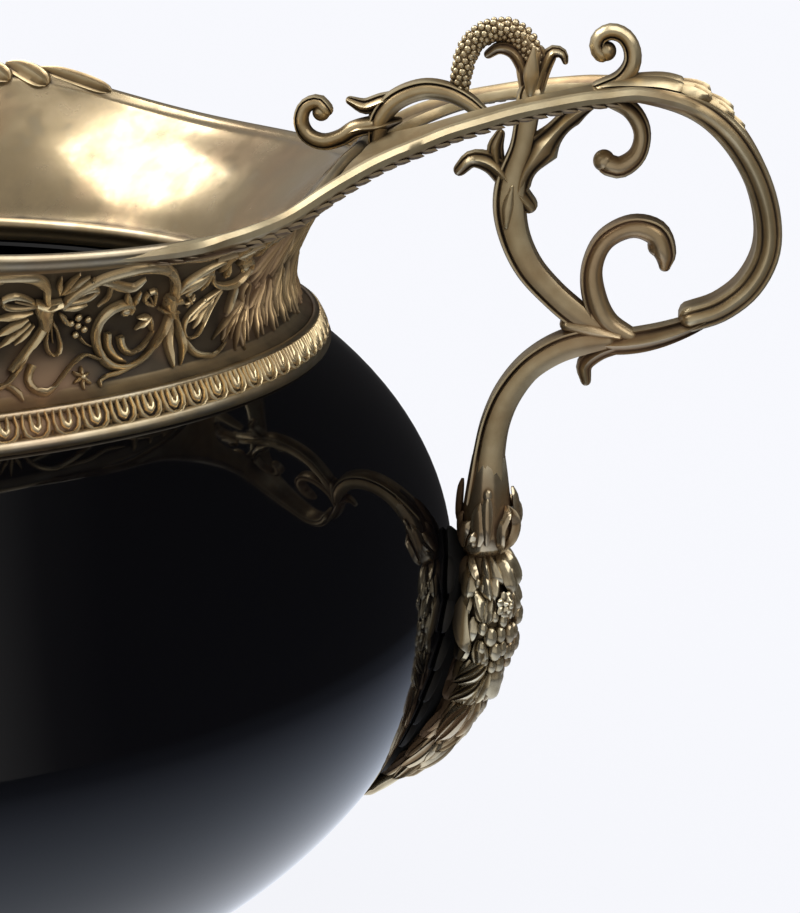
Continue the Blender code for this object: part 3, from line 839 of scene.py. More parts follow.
def palmette():
    """Nine petals that open like a hand, between two scrolls on a small flower."""
    flat = bmesh.new()
    for k in range(-4, 5):
        angle = math.radians(90 - 21 * k)
        length = 10.5 - 0.5 * abs(k)
        tip = (length * math.cos(angle) / DEGREE * 1.15, 200.0 + length * math.sin(angle) * 1.25)
        petal(flat, (0.25 * k, 200.0), tip, 1.3, 2.2)
    for side in (-1, 1):
        stroke(flat, ((side * 0.6, 198.6), (side * 4.4, 195.0), (side * 9.4, 194.6),
                      (side * 12.4, 198.2), (side * 11.6, 202.6), (side * 9.2, 202.8),
                      (side * 8.8, 200.4)), (0.9, 1.1, 1.0, 1.0, 0.9, 0.8, 1.0), 2.1)
        looped_petal(flat, (side * 9.2, 205.0), (side * 13.2, 213.6), 1.5)
        petal(flat, (side * 7.0, 207.4), (side * 9.4, 216.0), 1.1, 1.9)
    floret(flat, 0, 196.4, 2.6)
    return flat


fan_flat = acanthus_fan()
palmette_flat = palmette()
print("the fan:", len(fan_flat.faces), "faces; the palmette:", len(palmette_flat.faces), "faces")

# %% [markdown]
# The flat drawings are wrapped on the ground, copied to their places and bent with the rim. Turned
# upside down, the scroll shrinks by a twentieth, so that it stays between the edges of the frieze.
# A curve modifier could wrap them, but it knows nothing of the flared ground and the bent rim.

# %% Wrapping the relief round the collar
FLIP_LEVEL = 406.4  # mm, about the sum of two heights that change places
FLIP_SCALE = 0.951


def wrapped(flat, turn, mirror=1, upside_down=False, wear_and_shade=1.0, ridge=1.0):
    """A copy of a flat relief laid on the collar, turned to its place and bent with the rim.

    wear_and_shade scales the height that lightens the relief, so a value below 1 leaves it darker,
    and a higher ridge keeps the light colour to the ridges.
    """
    bm = flat.copy()
    height = bm.verts.layers.float.new("height")
    for vert in bm.verts:
        angle, z, proud = vert.co.x / DEGREE, vert.co.y, vert.co.z
        if upside_down:
            angle, z = 2 * DAISY_TURN - angle, FLIP_LEVEL - FLIP_SCALE * z
        angle = math.radians(angle * mirror + turn)
        radius, out = ground_at(z)
        vert[height] = (max(0.0, proud) / FULL_STROKE) ** ridge * wear_and_shade
        radius += proud * out.x
        placed = Vector((radius * math.cos(angle), radius * math.sin(angle), z + proud * out.y))
        vert.co = bend_with_rim(placed)
    bmesh.ops.recalc_face_normals(bm, faces=bm.faces)
    return bm


def join_all(parts):
    """One mesh from many, with their height attribute."""
    whole = bmesh.new()
    whole.verts.layers.float.new("height")
    for part in parts:
        add_to(whole, part)
    return whole


relief = []
for half_turn in (0, 180):
    for mirror in (1, -1):
        relief.append(wrapped(scroll_flat, half_turn, mirror))
        relief.append(wrapped(scroll_flat, half_turn, mirror, upside_down=True))
        relief.append(wrapped(daisy_flat, half_turn, mirror))
    relief.append(wrapped(fan_flat, half_turn, wear_and_shade=0.95, ridge=3.0))
    relief.append(wrapped(palmette_flat, half_turn - 90))
finish_piece("frieze_relief", join_all(relief), frieze_bronze, ["rim_collar"])

# %% [markdown]
# ## Egg and dart
#
# The band carries the oldest of the classical mouldings: an egg in its cup, a dart, and so on, 112
# times round. One egg is a small U inside a large one, with a dark channel between them, and the dart
# is a little wedge between the feet of two eggs. An egg has only a few dozen faces, because it is
# copied so often.

# %% One egg, and 112 of them
EGGS = 112
EGG_TALL = 5.9
EGG_PROUD = 1.5
EGG_PHASE = 0.157  # share of a pitch by which the ring of eggs is turned
EGG_TOP = BAND_Z + 8.0


def egg_point(across, down, proud):
    """A point on the egg band: mm across and down the band, and proud of it."""
    share = down / EGG_TALL
    radius = BAND_R - 4.0 + 2.2 * math.sin(share * math.pi / 2) + proud * 0.9
    return Vector((radius, across, EGG_TOP - down + proud * 0.35))


def u_lip(path, thick, proud):
    """A raised U, open at the top, from a path of (across, down) and a half thickness at each."""
    section = ((-1, -0.3), (-0.62, proud * 0.8), (0, proud), (0.62, proud * 0.8), (1, -0.3))
    rings = []
    for i, ((x, y), half) in enumerate(zip(path, thick)):
        (xa, ya), (xb, yb) = path[max(i - 1, 0)], path[min(i + 1, len(path) - 1)]
        way = Vector((xb - xa, yb - ya)).normalized()
        side = Vector((-way.y, way.x)) * half
        rings.append([egg_point(x + side.x * w, y + side.y * w, h) for w, h in section])
    return swept(rings)


def u_path(half, depth):
    """Across and down along a U with a broad foot."""
    right = [(half * 0.88, -0.1), (half, depth * 0.4), (half * 0.86, depth * 0.74),
             (half * 0.48, depth * 0.95)]
    return [(-x, y) for x, y in right] + [(0, depth)] + right[::-1]


half_pitch = math.pi * (BAND_R - 2) / EGGS
one_egg = bmesh.new()
cup_path = u_path(half_pitch * 0.83, EGG_TALL * 0.91)
cup_thick = (0.4, 0.5, 0.62, 0.74, 0.78, 0.74, 0.62, 0.5, 0.4)
add_to(one_egg, u_lip(cup_path, cup_thick, EGG_PROUD))
egg_path = ((-1.0, -0.1), (-1.0, 1.5), (-0.72, 2.8), (0, 3.4), (0.72, 2.8), (1.0, 1.5), (1.0, -0.1))
egg_thick = (0.4, 0.62, 0.95, 1.15, 0.95, 0.62, 0.4)
add_to(one_egg, u_lip(egg_path, egg_thick, EGG_PROUD))
wedge = []
for down, wide in ((EGG_TALL * 0.62, 0.12), (EGG_TALL, 0.75)):
    wedge.append([egg_point(half_pitch + w * wide, down, h)
                  for w, h in ((-1, -0.2), (0, 0.9), (1, -0.2))])
add_to(one_egg, swept(wedge))
egg_faces = len(one_egg.faces)
height = one_egg.verts.layers.float.new("height")
for vert in one_egg.verts:
    down = EGG_TOP - vert.co.z
    seat = egg_point(0, max(0.0, min(down, EGG_TALL)), 0).x
    vert[height] = max(0.0, min(1.0, (math.hypot(vert.co.x, vert.co.y) - seat) / 1.1))
egg_ring = bmesh.new()
egg_ring.verts.layers.float.new("height")
for k in range(EGGS):
    add_to(egg_ring, one_egg.copy(), Matrix.Rotation(2 * math.pi * (k + EGG_PHASE) / EGGS, 4, "Z"))
one_egg.free()
print(EGGS, "eggs of", egg_faces, "faces each")
finish_piece("egg_and_dart", egg_ring, frieze_bronze, ["rim_collar"], sharp=60)

# %% [markdown]
# ## The handles
#
# The rail and the ring of a handle are one casting. It leaves the rim as a flange with a rolled
# edge, narrows towards the crest, turns over into the ring and ends in a blunt lobe. Both halves are
# alike, so only the near half is made. Control rows give a point on the outer edge and a point on
# the inner edge at each station.

# %% Control rows of a handle
# Levels along the crest of the handle, as (distance from the middle of the bowl, height).
CREST = (
    (118, 227.2), (124, 227.6), (133, 229.6), (139, 232.2), (146, 236.8), (155, 241), (170, 246),
    (186, 249.6), (201, 251.6), (216, 252.2), (222, 251.2))


def crest_level(x):
    """Height of the crest at a distance from the middle of the bowl."""
    for (x0, z0), (x1, z1) in zip(CREST, CREST[1:]):
        if x <= x1:
            return z0 + (z1 - z0) * (x - x0) / (x1 - x0)
    return CREST[-1][1]


def band_path():
    """Rows down the near side: outer x, y, z, inner x, y, z and how far the ring has begun."""
    rows = []
    for fold, out, below in ((49, -1.6, 2.4), (43, -0.4, 2.0), (39, 0.9, 1.6)):
        r, turn, z = rim_radius(fold) + out, math.radians(fold), rim_height(fold) - below
        rows.append((r * math.cos(turn), -r * math.sin(turn), z,
                     (r - 2) * math.cos(turn), -(r - 2) * math.sin(turn), z, 0))
    for x, y, fold in ((124.4, 90.4, 36), (129.5, 84.6, 33), (136, 76.0, 28), (144, 67.2, 20),
                       (152, 59.6, 12), (157, 55.4, 5)):
        r = rim_radius(fold) + 0.3
        turn = math.radians(fold)
        rows.append((x, -y, crest_level(x), r * math.cos(turn), -r * math.sin(turn),
                     rim_height(fold) - 1.2, 0))
    edge = ((159, 53.6), (161, 52.0), (164, 49.4), (169, 45.2), (176, 39.6), (184, 33.8),
            (192, 28.6), (200, 24.2), (206, 21.0), (214, 17.4))
    hole = ((145.9, 0), (150, 0), (153.5, 9.0), (161, 18.5), (171, 20.5), (181, 16.6), (190, 10.8),
            (199, 3.6), (203, 0), (212, 0))
    for (x, y), (ix, iy) in zip(edge, hole):
        rows.append((x, -y, crest_level(x), ix, -iy, crest_level(ix) + 1.2,
                     max(0.0, (x - 206) / 24)))
    for x, z, half, ring in (
            (226, 249.0, 13.5, 0.7), (235, 242.8, 11, 1), (242, 233, 9.5, 1), (246, 222, 8.5, 1),
            (246.4, 212, 8, 1), (242.4, 203.2, 7.5, 1), (235.4, 197.2, 7, 1),
            (227.4, 194.2, 6.6, 1)):
        rows.append((x, -half, z, x, 0, z, ring))
    return rows


print("control rows of half a handle:", len(band_path()))

# %% [markdown]
# At each station the section hangs between the two edges. It starts as a flat flange with a rolled
# edge and becomes the thick section of the ring on the way. The last stations pinch it to a blunt
# end, and the mirror operator makes the far half.

# %% Band of a handle
# A section is a list of (mm from the outer edge, share of the width, mm above the edge).
EAR_SECTION = (
    (0, 1, -1.0), (-0.9, 1, 0.5), (0, 0.55, -0.9), (4.4, 0, -0.5), (3.4, 0, 0.5), (2.5, 0, 1.4),
    (1.6, 0, 1.75), (0.5, 0, 1.3), (0, 0, 0), (0.5, 0, -1.3), (1.6, 0, -1.75), (2.6, 0, -1.4),
    (3.4, 0, -1.6), (5.0, 0, -2.2), (0, 0.6, -2.6), (0, 1, -1.9))
RING_SECTION = (
    (0, 1, 0), (0, 1, 3.0), (0, 0.55, 3.2), (3.2, 0, 3.2), (1.6, 0, 3.1), (0.7, 0, 2.5),
    (1.1, 0, 1.75), (-0.1, 0, 1.0), (-0.5, 0, 0), (-0.1, 0, -1.0), (1.1, 0, -1.75), (0.8, 0, -2.4),
    (1.4, 0, -3.1), (3.2, 0, -3.4), (0, 0.6, -3.4), (0, 1, -3.3))


def half_band():
    """The near half: one closed section per station, blended from the flange to the ring."""
    stations = curve_through(band_path(), 2.0)
    ways = directions(stations)
    rings = []
    ends = [(station, way, 0.0) for station, way in zip(stations, ways)]
    last, way = stations[-1], ways[-1]
    for out, pinch in ((1.1, 0.12), (2.0, 0.4), (2.5, 0.8)):
        shifted = last.copy()
        for k in range(3):
            shifted[k] += way[k] * out
            shifted[k + 3] += way[k] * out
        ends.append((shifted, way, pinch))
    for i, (station, way, pinch) in enumerate(ends):
        outer, inner, ring = Vector(station[:3]), Vector(station[3:6]), station[6]
        grown = min(1.0, 0.2 + i / 14)  # the flange grows out of the rim over its first 22 mm
        if abs(inner.y) < 0.35 or inner.y > 0:
            inner.y = 0.0
        across = inner - outer
        width = across.length
        up = way.cross(across).normalized()
        points = []
        for (m0, s0, b0), (m1, s1, b1) in zip(EAR_SECTION, RING_SECTION):
            a0, a1 = m0 + s0 * width, m1 + s1 * width
            a = min(a0 + (a1 - a0) * ring, width)
            a += (width - a) * pinch
            b = (b0 + (b1 - b0) * ring) * (1 - pinch) * grown
            point = outer + across.normalized() * a * (grown if s0 + s1 == 0 else 1) + up * b
            if inner.y == 0.0 and s0 + s1 == 2 and (m1 + m0 == 0 or ring > 0.5):
                point.y = 0.0
            points.append(point)
        rings.append(points)
    return swept(rings)


band = half_band()
on_plane = [face for face in band.faces if all(abs(vert.co.y) < 1e-4 for vert in face.verts)]
bmesh.ops.delete(band, geom=on_plane, context="FACES_ONLY")
bmesh.ops.mirror(band, geom=band.verts[:] + band.edges[:] + band.faces[:], axis="Y",
                 merge_dist=1e-3)


def both_sides(name, bm, finish, slot):
    """Finishes a piece for the right handle, and a copy turned half round for the left one."""
    other = bm.copy()
    bmesh.ops.rotate(other, cent=(0, 0, 0), matrix=Matrix.Rotation(math.pi, 3, "Z"),
                     verts=other.verts)
    finish_piece(name + "_right", bm, finish, [slot + "_right"])
    finish_piece(name + "_left", other, finish, [slot + "_left"])


both_sides("handle_band", band, handle_bronze, "handle")

# %% [markdown]
# The stems, scrolls and leaves inside the ring lie in the handle's own plane. Each is a bar with one
# of four sections: round, channelled along its outer edge, flat with a stepped edge, or ribbed like
# a leaf. A bar may also be cut into lobes along its edges. Its ends are domed.

# %% Bars in the plane of a handle
ROUND = ((1, 0), (0.87, 0.5), (0.5, 0.87), (0, 1), (-0.5, 0.87), (-0.87, 0.5), (-1, 0))
CHANNEL = ((1, 0), (0.97, 0.45), (0.84, 0.8), (0.7, 0.84), (0.58, 0.7), (0.42, 0.86), (0.1, 1),
           (-0.3, 1), (-0.7, 0.82), (-0.95, 0.45), (-1, 0))
FLAT = ((1, 0), (0.97, 0.55), (0.86, 0.82), (0.74, 0.82), (0.64, 0.72), (0.5, 0.9), (0.1, 1),
        (-0.4, 0.98), (-0.85, 0.76), (-1, 0))
LEAF = ((1, 0), (0.78, 0.5), (0.56, 0.42), (0.3, 0.78), (0, 1), (-0.3, 0.78), (-0.56, 0.42),
        (-0.78, 0.5), (-1, 0))


def bar(points, half_section, step, lobes=0, depth=0.0):
    """A bar through (x, z, thickness, width across) points.

    The section starts at the left side of the way the bar runs.
    """
    stations = curve_through(points, step)
    ways = [way.xy.normalized() for way in directions([(s[0], s[1], 0) for s in stations])]
    rows = []
    for i, (station, way) in enumerate(zip(stations, ways)):
        share = i / (len(stations) - 1)
        cut = 1 - depth * abs(math.cos(math.pi * lobes * share)) if lobes else 1
        rows.append((station, way, cut, 1.0))
    for end, sign in ((0, -1), (-1, 1)):
        station, way, cut, _ = rows[end]
        extra = []
        for out, shrink in ((0.22, 0.86), (0.38, 0.6), (0.46, 0.25)):
            moved = station.copy()
            moved[0] += way.x * sign * out * station[2]
            moved[1] += way.y * sign * out * station[2]
            extra.append((moved, way, cut, shrink))
        rows = extra[::-1] + rows if sign < 0 else rows + extra
    section = list(half_section) + [(a, -b) for a, b in half_section[-2:0:-1]]
    rings = []
    for station, way, cut, shrink in rows:
        ring = []
        for a, b in section:
            reach = station[2] / 2 * a * cut * shrink
            ring.append((station[0] - way.y * reach, station[3] / 2 * b * shrink,
                         station[1] + way.x * reach))
        rings.append(ring)
    return swept(rings)


def ball(x, z, radius):
    """The eye of a scroll: a ball that is a third wider across the handle."""
    bm = bmesh.new()
    bmesh.ops.create_uvsphere(bm, u_segments=18, v_segments=12, radius=radius)
    bmesh.ops.scale(bm, vec=(1, 1.35, 1), verts=bm.verts)
    bmesh.ops.translate(bm, vec=(x, 0, z), verts=bm.verts)
    return bm


trial_bar = bar(((0, 0, 2, 2), (5, 0, 2, 2), (10, 0, 2, 2)), ROUND, 1.3)
print("a round bar of 10 mm has", len(trial_bar.faces), "faces")
trial_bar.free()

# %% [markdown]
# The founder cast the stems with the rail, as one openwork plate. Each stem below is a row of points
# in the plane of the handle, read like a drawing: distance from the middle of the bowl, height,
# thickness, and width across.

# %% Stems and scrolls of a handle
stem = (
    (205, 190.6, 5, 8), (199, 194.4, 7, 9), (192.6, 199.8, 7.2, 9), (186.6, 206.4, 7.6, 9),
    (182.8, 214, 8, 9), (181.2, 222, 8.6, 9.4), (181.8, 229.4, 8, 9), (184.2, 238, 6, 7.6),
    (186, 250.4, 6.6, 7.6))
c_scroll = (
    (213, 188.6, 4.6, 8), (206.8, 192.2, 6.2, 9), (203.4, 198.6, 6.4, 9), (202.5, 206.6, 5.6, 8.6),
    (205.6, 213.8, 5.4, 8.6), (212.4, 217.4, 5.8, 9), (218.6, 215.8, 6.6, 9),
    (220.9, 210.8, 6.0, 8.4), (221.0, 207.4, 3.2, 5))
hook = (
    (206, 249.4, 4, 8), (210.8, 247.2, 4.6, 8), (213.6, 243.6, 4.6, 7.8), (214.4, 239.6, 4.4, 7.4),
    (213.0, 235.2, 4.8, 7.4), (209.2, 232.4, 5.4, 7.6), (205.8, 233.0, 5.4, 7.2))
top_curl = (
    (203, 252, 4, 10), (208.6, 254.2, 5, 9), (211.2, 258.0, 4.6, 8), (211.2, 261.8, 4.4, 7.6),
    (209.2, 265.0, 4.2, 7.4), (206.0, 266.1, 4.2, 7.2), (203.2, 264.8, 4, 7),
    (202.5, 262.2, 4, 6.8), (203.8, 260.6, 4.4, 6.6))
leaf_left = ((186, 222.6, 5, 8), (180.6, 229.0, 6, 9), (176.4, 233.0, 5.6, 9),
             (171.6, 234.0, 4.6, 8), (168.4, 231.2, 3.4, 6))
bud = ((181, 226.6, 3, 5), (178.4, 231.6, 4, 6), (177.4, 236.6, 4.4, 6), (178.6, 240.4, 2.6, 4))
leaf_right = (
    (182.6, 222, 4, 8), (184.4, 229.6, 6.4, 9.4), (188.0, 235.4, 9.4, 10.4),
    (191.8, 240.4, 8.2, 10.4), (196.2, 244.8, 6.0, 9), (202, 248.4, 3.6, 8))
lower_stem = (
    (175.4, 143.6, 10, 12), (176.2, 150, 9.6, 12), (176.8, 157.4, 8.4, 11),
    (178.3, 165.4, 7.8, 10.6), (181.4, 173.0, 7.6, 10.4), (186.6, 180.0, 7.4, 10.4),
    (193.4, 184.9, 7.6, 10.6), (200.6, 187.6, 7.4, 11), (207.6, 188.4, 5, 10))
long_leaf = (
    (198.6, 188.8, 4, 8), (206, 187.2, 6.4, 10), (214.4, 187.9, 7.2, 12), (223, 190.2, 6.4, 13),
    (231.4, 194.0, 4.6, 13), (238.4, 199.2, 2.6, 12))
droop = ((211, 187.0, 5, 8), (205, 184.8, 5, 8), (201.2, 181.2, 4.4, 6.6), (201.6, 176.8, 2.8, 4.4))
knuckle = ((196.4, 191.8, 4, 9), (203, 190.6, 5, 11), (210, 189.2, 3, 10))

scrolls = bmesh.new()
for points, section, lobes, depth in (
        (stem, FLAT, 0, 0), (c_scroll, CHANNEL, 0, 0), (hook, CHANNEL, 0, 0),
        (top_curl, CHANNEL, 0, 0), (leaf_left, LEAF, 0, 0), (bud, LEAF, 0, 0),
        (leaf_right, LEAF, 3, 0.3), (lower_stem, FLAT, 0, 0), (long_leaf, LEAF, 0, 0),
        (droop, LEAF, 0, 0), (knuckle, ROUND, 0, 0)):
    add_to(scrolls, bar(points, section, 1.3, lobes, depth))
for x, z, radius in ((204.9, 234.0, 2.8), (204.9, 261.3, 2.5), (219.4, 212.6, 3.0)):
    add_to(scrolls, ball(x, z, radius))
for side in (-1, 1):
    lens = bar(((180.6, 217.4, 1.6, 2.4), (181.0, 222.4, 3.2, 3), (182.0, 227.6, 1.2, 2)), ROUND,
               1.3)
    add_to(scrolls, lens, Matrix.Translation((0, side * 3.9, 0)))
both_sides("handle_scrolls", scrolls, handle_bronze, "handle")

# %% [markdown]
# Leaves that lie on another surface need their own helper. The path gives the place, the half width
# and the rise at every point, and `outward` tells which way the surface faces there. The top of the
# section is an arch with ribs, like the back of an acanthus lobe.

# %% Ribbed leaves on a surface


def leaf_over(points, outward, ribs, step):
    """A closed leaf through (x, y, z, half width, rise) points, raised to where outward points."""
    stations = curve_through(points, step)
    rings = []
    count = 2 * ribs + 4
    for station, way in zip(stations, directions(stations)):
        place = Vector(station[:3])
        up = outward(place)
        up = (up - way * up.dot(way)).normalized()
        across = way.cross(up)
        half, rise = max(station[3], 0.15), max(station[4], 0.15)
        ring = []
        for k in range(count + 1):
            s = -1 + 2 * k / count
            tall = math.sqrt(1 - s * s) * (0.8 + 0.2 * math.cos(math.pi * ribs * s)) - 0.12
            ring.append(place + across * half * s + up * rise * tall)
        for s, low in ((0.6, 0.45), (-0.6, 0.45)):
            ring.append(place + across * half * s - up * rise * low)
        rings.append(ring)
    return swept(rings)


trial_leaf = leaf_over(((0, 0, 0, 2, 1), (6, 0, 0, 3, 1), (12, 0, 0, 0, 0)),
                       lambda _: Vector((0, 0, 1)), 3, 1.5)
print("a leaf of 12 mm with three ribs has", len(trial_leaf.faces), "faces")
trial_leaf.free()

# %% [markdown]
# Under the rolled edge of the flange hangs a row of small pointed leaves, each overlapping the next.
# They are laid along the same stations as the flange, so that they follow its edge in every turn.

# %% Leaves under the edge of a flange
stations = curve_through(band_path(), 2.0)
under = bmesh.new()
for i in range(8, 74, 2):
    outer, inner = Vector(stations[i][:3]), Vector(stations[i][3:6])
    way = directions(stations)[i]
    across = (inner - outer).normalized()
    up = way.cross(across).normalized()
    for side in (1, -1):
        rows = []
        for share, width, drop in ((0.0, 0.5, 0.2), (0.4, 1.0, 0.7), (0.75, 0.85, 1.3),
                                   (1.0, 0.15, 2.3)):
            place = outer + across * 2.8 + way * 5.0 * share - up * (1.5 + 0.62 * drop)
            rows.append((place.x, side * place.y, place.z, 1.7 * width, 1.1 * width))
        down = Vector((-up.x, -side * up.y, -up.z))
        add_to(under, leaf_over(rows, lambda _: down, 2, 1.6))
# The leaves get the bronze that is painted with the shade under the edge.
both_sides("flange_leaf", under, shaded_bronze, "handle")

# %% [markdown]
# A big acanthus leaf lies over the crest, where the rail turns into the ring. It is five tiers of
# three lobes, and each tier starts under the tip of the one before, like tiles on a roof.

# %% Acanthus over the crest of a handle
RING_X = 216  # middle of the ring
RING_Z = 216
CREST_TOP = ((200, 253.6), (207, 255.0), (214, 255.6), (221, 254.8), (227, 252.6), (233, 248.6),
             (238, 242.8), (241.4, 236.4))


def crest_outward(place):
    """The ring faces away from its own middle."""
    return Vector((place.x - RING_X, 0, place.z - RING_Z)).normalized()


def crest_point(share):
    """The place at a share of the way along the crest."""
    place = share * (len(CREST_TOP) - 1)
    low = min(int(place), len(CREST_TOP) - 2)
    (x0, z0), (x1, z1) = CREST_TOP[low], CREST_TOP[low + 1]
    return Vector((x0 + (x1 - x0) * (place - low), 0, z0 + (z1 - z0) * (place - low)))


crest_leaf = bmesh.new()
for begin, finish, half, rise, ribs in ((0.0, 0.52, 9.6, 2.2, 1), (0.40, 0.66, 9.0, 3.0, 3),
                                        (0.56, 0.80, 7.6, 3.0, 3), (0.70, 0.90, 6.0, 2.6, 3),
                                        (0.82, 1.0, 4.0, 2.0, 1)):
    for side in (-1, 0, 1):
        if side == 0:
            spread, wide = 0.0, half * 0.55
        else:
            spread, wide = side * half * 0.42, half * 0.5
        rows = []
        for along, out, width, tall in (
                (0, 0.2, 0.5, 0.3), (0.3, 0.5, 0.9, 0.7), (0.7, 0.95, 1.0, 1.0),
                (0.93, 1.15, 0.6, 1.0), (1.0, 1.2, 0.12, 0.5)):
            point = crest_point(begin + (finish - begin) * along)
            point += crest_outward(point) * (rise * 0.4 * along - 1.3)
            rows.append((point.x, spread * out, point.z - abs(side) * 0.9 * out, wide * width,
                         rise * tall))
        add_to(crest_leaf, leaf_over(rows, crest_outward, ribs, 1.5))
both_sides("handle_crest_leaf", crest_leaf, handle_bronze, "handle")

# %% [markdown]
# ## The sprigs
#
# A sprig was cast apart and set on the root of the rail: a curl that hangs over the rim, an arched
# leaf, and an ear of seeds that bends out of its cup. The ear is a bent core with rows of small
# grains pressed into it, a little out of line, as a modeller would do it by hand.

# %% Sprig
sprig_curl = (
    (146, 242.4, 4.6, 8), (141.6, 241.2, 4.6, 7.6), (138.0, 239.0, 4.4, 7),
    (133.4, 237.9, 4.2, 6.8), (129.4, 239.6, 4, 6.6), (127.8, 243.2, 3.8, 6.4),
    (129.0, 246.8, 3.8, 6.2), (132.2, 248.0, 3.8, 6), (134.2, 246.0, 3.8, 6))
sprig_arch = (
    (147.4, 238.6, 5, 8), (148.2, 244.2, 5.4, 9), (152.2, 248.8, 5.6, 9), (158.8, 251.4, 5.4, 8.6),
    (165, 250.9, 5, 8), (170.4, 248.4, 4.4, 7), (175.4, 244.2, 3.6, 5))
sprig_lobe = ((153, 249.8, 3, 6), (148.6, 248.4, 4.2, 8), (144.4, 247.0, 4.2, 7.6),
              (140.4, 248.4, 2.4, 5))
sprig_frond = ((150, 247.4, 3, 6), (147.2, 244.6, 4, 7.4), (145.6, 241.0, 2.6, 5))
sprig_root = ((138, 239.2, 3, 6), (142.4, 241.4, 5, 9), (147.4, 242.0, 6, 10), (152.4, 243.4, 3, 7))
cup_stem = ((186.4, 247, 7, 8), (186.4, 251.4, 6.4, 7.6), (186.6, 256.4, 8.4, 8.6),
            (186.8, 259.4, 7.6, 8))
cup_left = ((186.4, 251.4, 4.4, 6), (184.6, 257, 4.4, 7.4), (181.8, 260.9, 3.8, 7.2),
            (178.2, 261.9, 3.2, 6.6), (175.4, 260.3, 2.4, 5))
cup_right = ((187.4, 251.6, 4.4, 6), (189.2, 257.2, 4.4, 7.4), (191.5, 260.9, 3.6, 6.8),
             (194.0, 260.5, 2.6, 6), (194.7, 258.6, 1.6, 4))
seed_ear = (
    (168.4, 250.4, 3.2, 3.4), (168.7, 255.6, 4.0, 4.2), (170.1, 260.8, 4.4, 4.6),
    (173.2, 264.8, 4.6, 4.8), (178.2, 266.5, 4.7, 4.9), (183.0, 265.1, 4.8, 5),
    (185.8, 261.2, 5, 5.2), (186.8, 256.6, 4.8, 5))
GRAIN = 0.95  # mm radius of one grain

sprig = bmesh.new()
for points, section, lobes in (
        (sprig_curl, CHANNEL, 0), (sprig_arch, CHANNEL, 0), (sprig_lobe, LEAF, 0),
        (sprig_frond, LEAF, 0), (sprig_root, LEAF, 2), (cup_stem, LEAF, 0), (cup_left, LEAF, 0),
        (cup_right, LEAF, 0)):
    add_to(sprig, bar(points, section, 1.2, lobes, 0.25))
add_to(sprig, ball(133.0, 245.4, 2.3))
for side in (-1, 1):
    tip_leaf = bar(((186.2, 251, 2, 2), (186.4, 256, 4, 3), (187.0, 262.4, 1, 1.4)), ROUND, 1.2)
    add_to(sprig, tip_leaf, Matrix.Translation((0, side * 4.0, 0)))
both_sides("sprig_leaves", sprig, handle_bronze, "sprig")

dice = random.Random(5)
ear_of_seeds = bar(seed_ear, ROUND, 1.4)
stations = curve_through(seed_ear, 1.42)
grains = 0
ways = directions([(s[0], s[1], 0) for s in stations])
for row, (station, way) in enumerate(zip(stations, ways)):
    round_row = station[2] / 2
    count = round(2 * math.pi * round_row / (1.95 * GRAIN))
    for k in range(count):
        turn = 2 * math.pi * (k + 0.5 * (row % 2) + dice.uniform(-0.1, 0.1)) / count
        reach = round_row * math.cos(turn)
        slip = dice.uniform(-0.15, 0.15)
        grain = bmesh.new()
        bmesh.ops.create_uvsphere(grain, u_segments=8, v_segments=5,
                                  radius=GRAIN * dice.uniform(0.88, 1.08))
        place = (station[0] - way.y * reach + way.x * slip, round_row * math.sin(turn),
                 station[1] + way.x * reach + way.y * slip)
        add_to(ear_of_seeds, grain, Matrix.Translation(place))
        grains += 1
print("grains on one ear of seeds:", grains)
both_sides("seed_ear", ear_of_seeds, leaf_bronze, "sprig")

# %% [markdown]
# ## The drops
#
# The stem of a handle ends in a calyx, and from it hangs a bunch of leaves, a flower and berries,
# modelled in the round against the porcelain. A plain lofted core fills the bunch. Everything else is
# placed on the core by an angle and a height, so it can be thought out like a drawing. The angle is 0
# on the side away from the bowl and 180 next to it, and each row is used on both sides of the core.

# %% Core of a drop
# (height, middle x, half thickness in x, half width in y)
CALYX = (
    (156, 176.6, 4.4, 5.4), (151, 176.5, 5.2, 6.4), (146, 176.4, 5.9, 7.4), (141, 176.4, 6.7, 8.6),
    (136, 176.6, 7.2, 9.2), (132.5, 176.2, 6.8, 8.8), (130.4, 175.6, 5.6, 7.4),
    (128.6, 175.4, 3.6, 5))
BUNCH = (
    (131, 175.6, 4.4, 5.6), (127, 176.0, 5.4, 8.6), (122, 176.4, 6.2, 11), (113, 176.6, 7.0, 13),
    (105, 176.1, 6.6, 12.6), (98, 174.2, 6.0, 11.6), (92, 171.8, 5.2, 10.4), (87, 170.0, 4.3, 9.4),
    (80, 165.6, 4.6, 8.2), (74, 160.6, 4.4, 7.0), (68, 154.5, 3.0, 5.4), (62, 146.6, 1.2, 3.0),
    (58.4, 143.2, 0.5, 1.2))


def level_of(core, z):
    """Middle, half thickness and half width of a core at a height."""
    z = min(max(z, core[-1][0]), core[0][0])
    for (z0, *one), (z1, *two) in zip(core, core[1:]):
        if z >= z1:
            share = (z0 - z) / (z0 - z1)
            return [p + (q - p) * share for p, q in zip(one, two)]
    return list(core[-1][1:])


def core_place(core, angle, z, lift):
    """A point at an angle round the core, at a height, lifted off its surface."""
    x, thick, wide = level_of(core, z)
    turn = math.radians(angle)
    return Vector((x + (thick + lift) * math.cos(turn), -(wide + lift) * math.sin(turn), z))


def core_outward(core):
    """The function that tells which way a core faces at a place."""
    def outward(place):
        x, thick, wide = level_of(core, place.z)
        slope = (level_of(core, place.z + 2)[0] - level_of(core, place.z - 2)[0]) / 4
        across = (place.x - x) / thick ** 2
        return Vector((across, place.y / wide ** 2, -slope * across)).normalized()
    return outward


def core_body(core):
    """A plain lofted body with one ellipse for each row of the core."""
    sides = 24
    rings = []
    for z, x, thick, wide in core:
        rings.append([(x + thick * math.cos(2 * math.pi * k / sides),
                       wide * math.sin(2 * math.pi * k / sides), z) for k in range(sides)])
    return swept(rings)


print("middle, half thickness and half width of the bunch at its fullest:", level_of(BUNCH, 113))

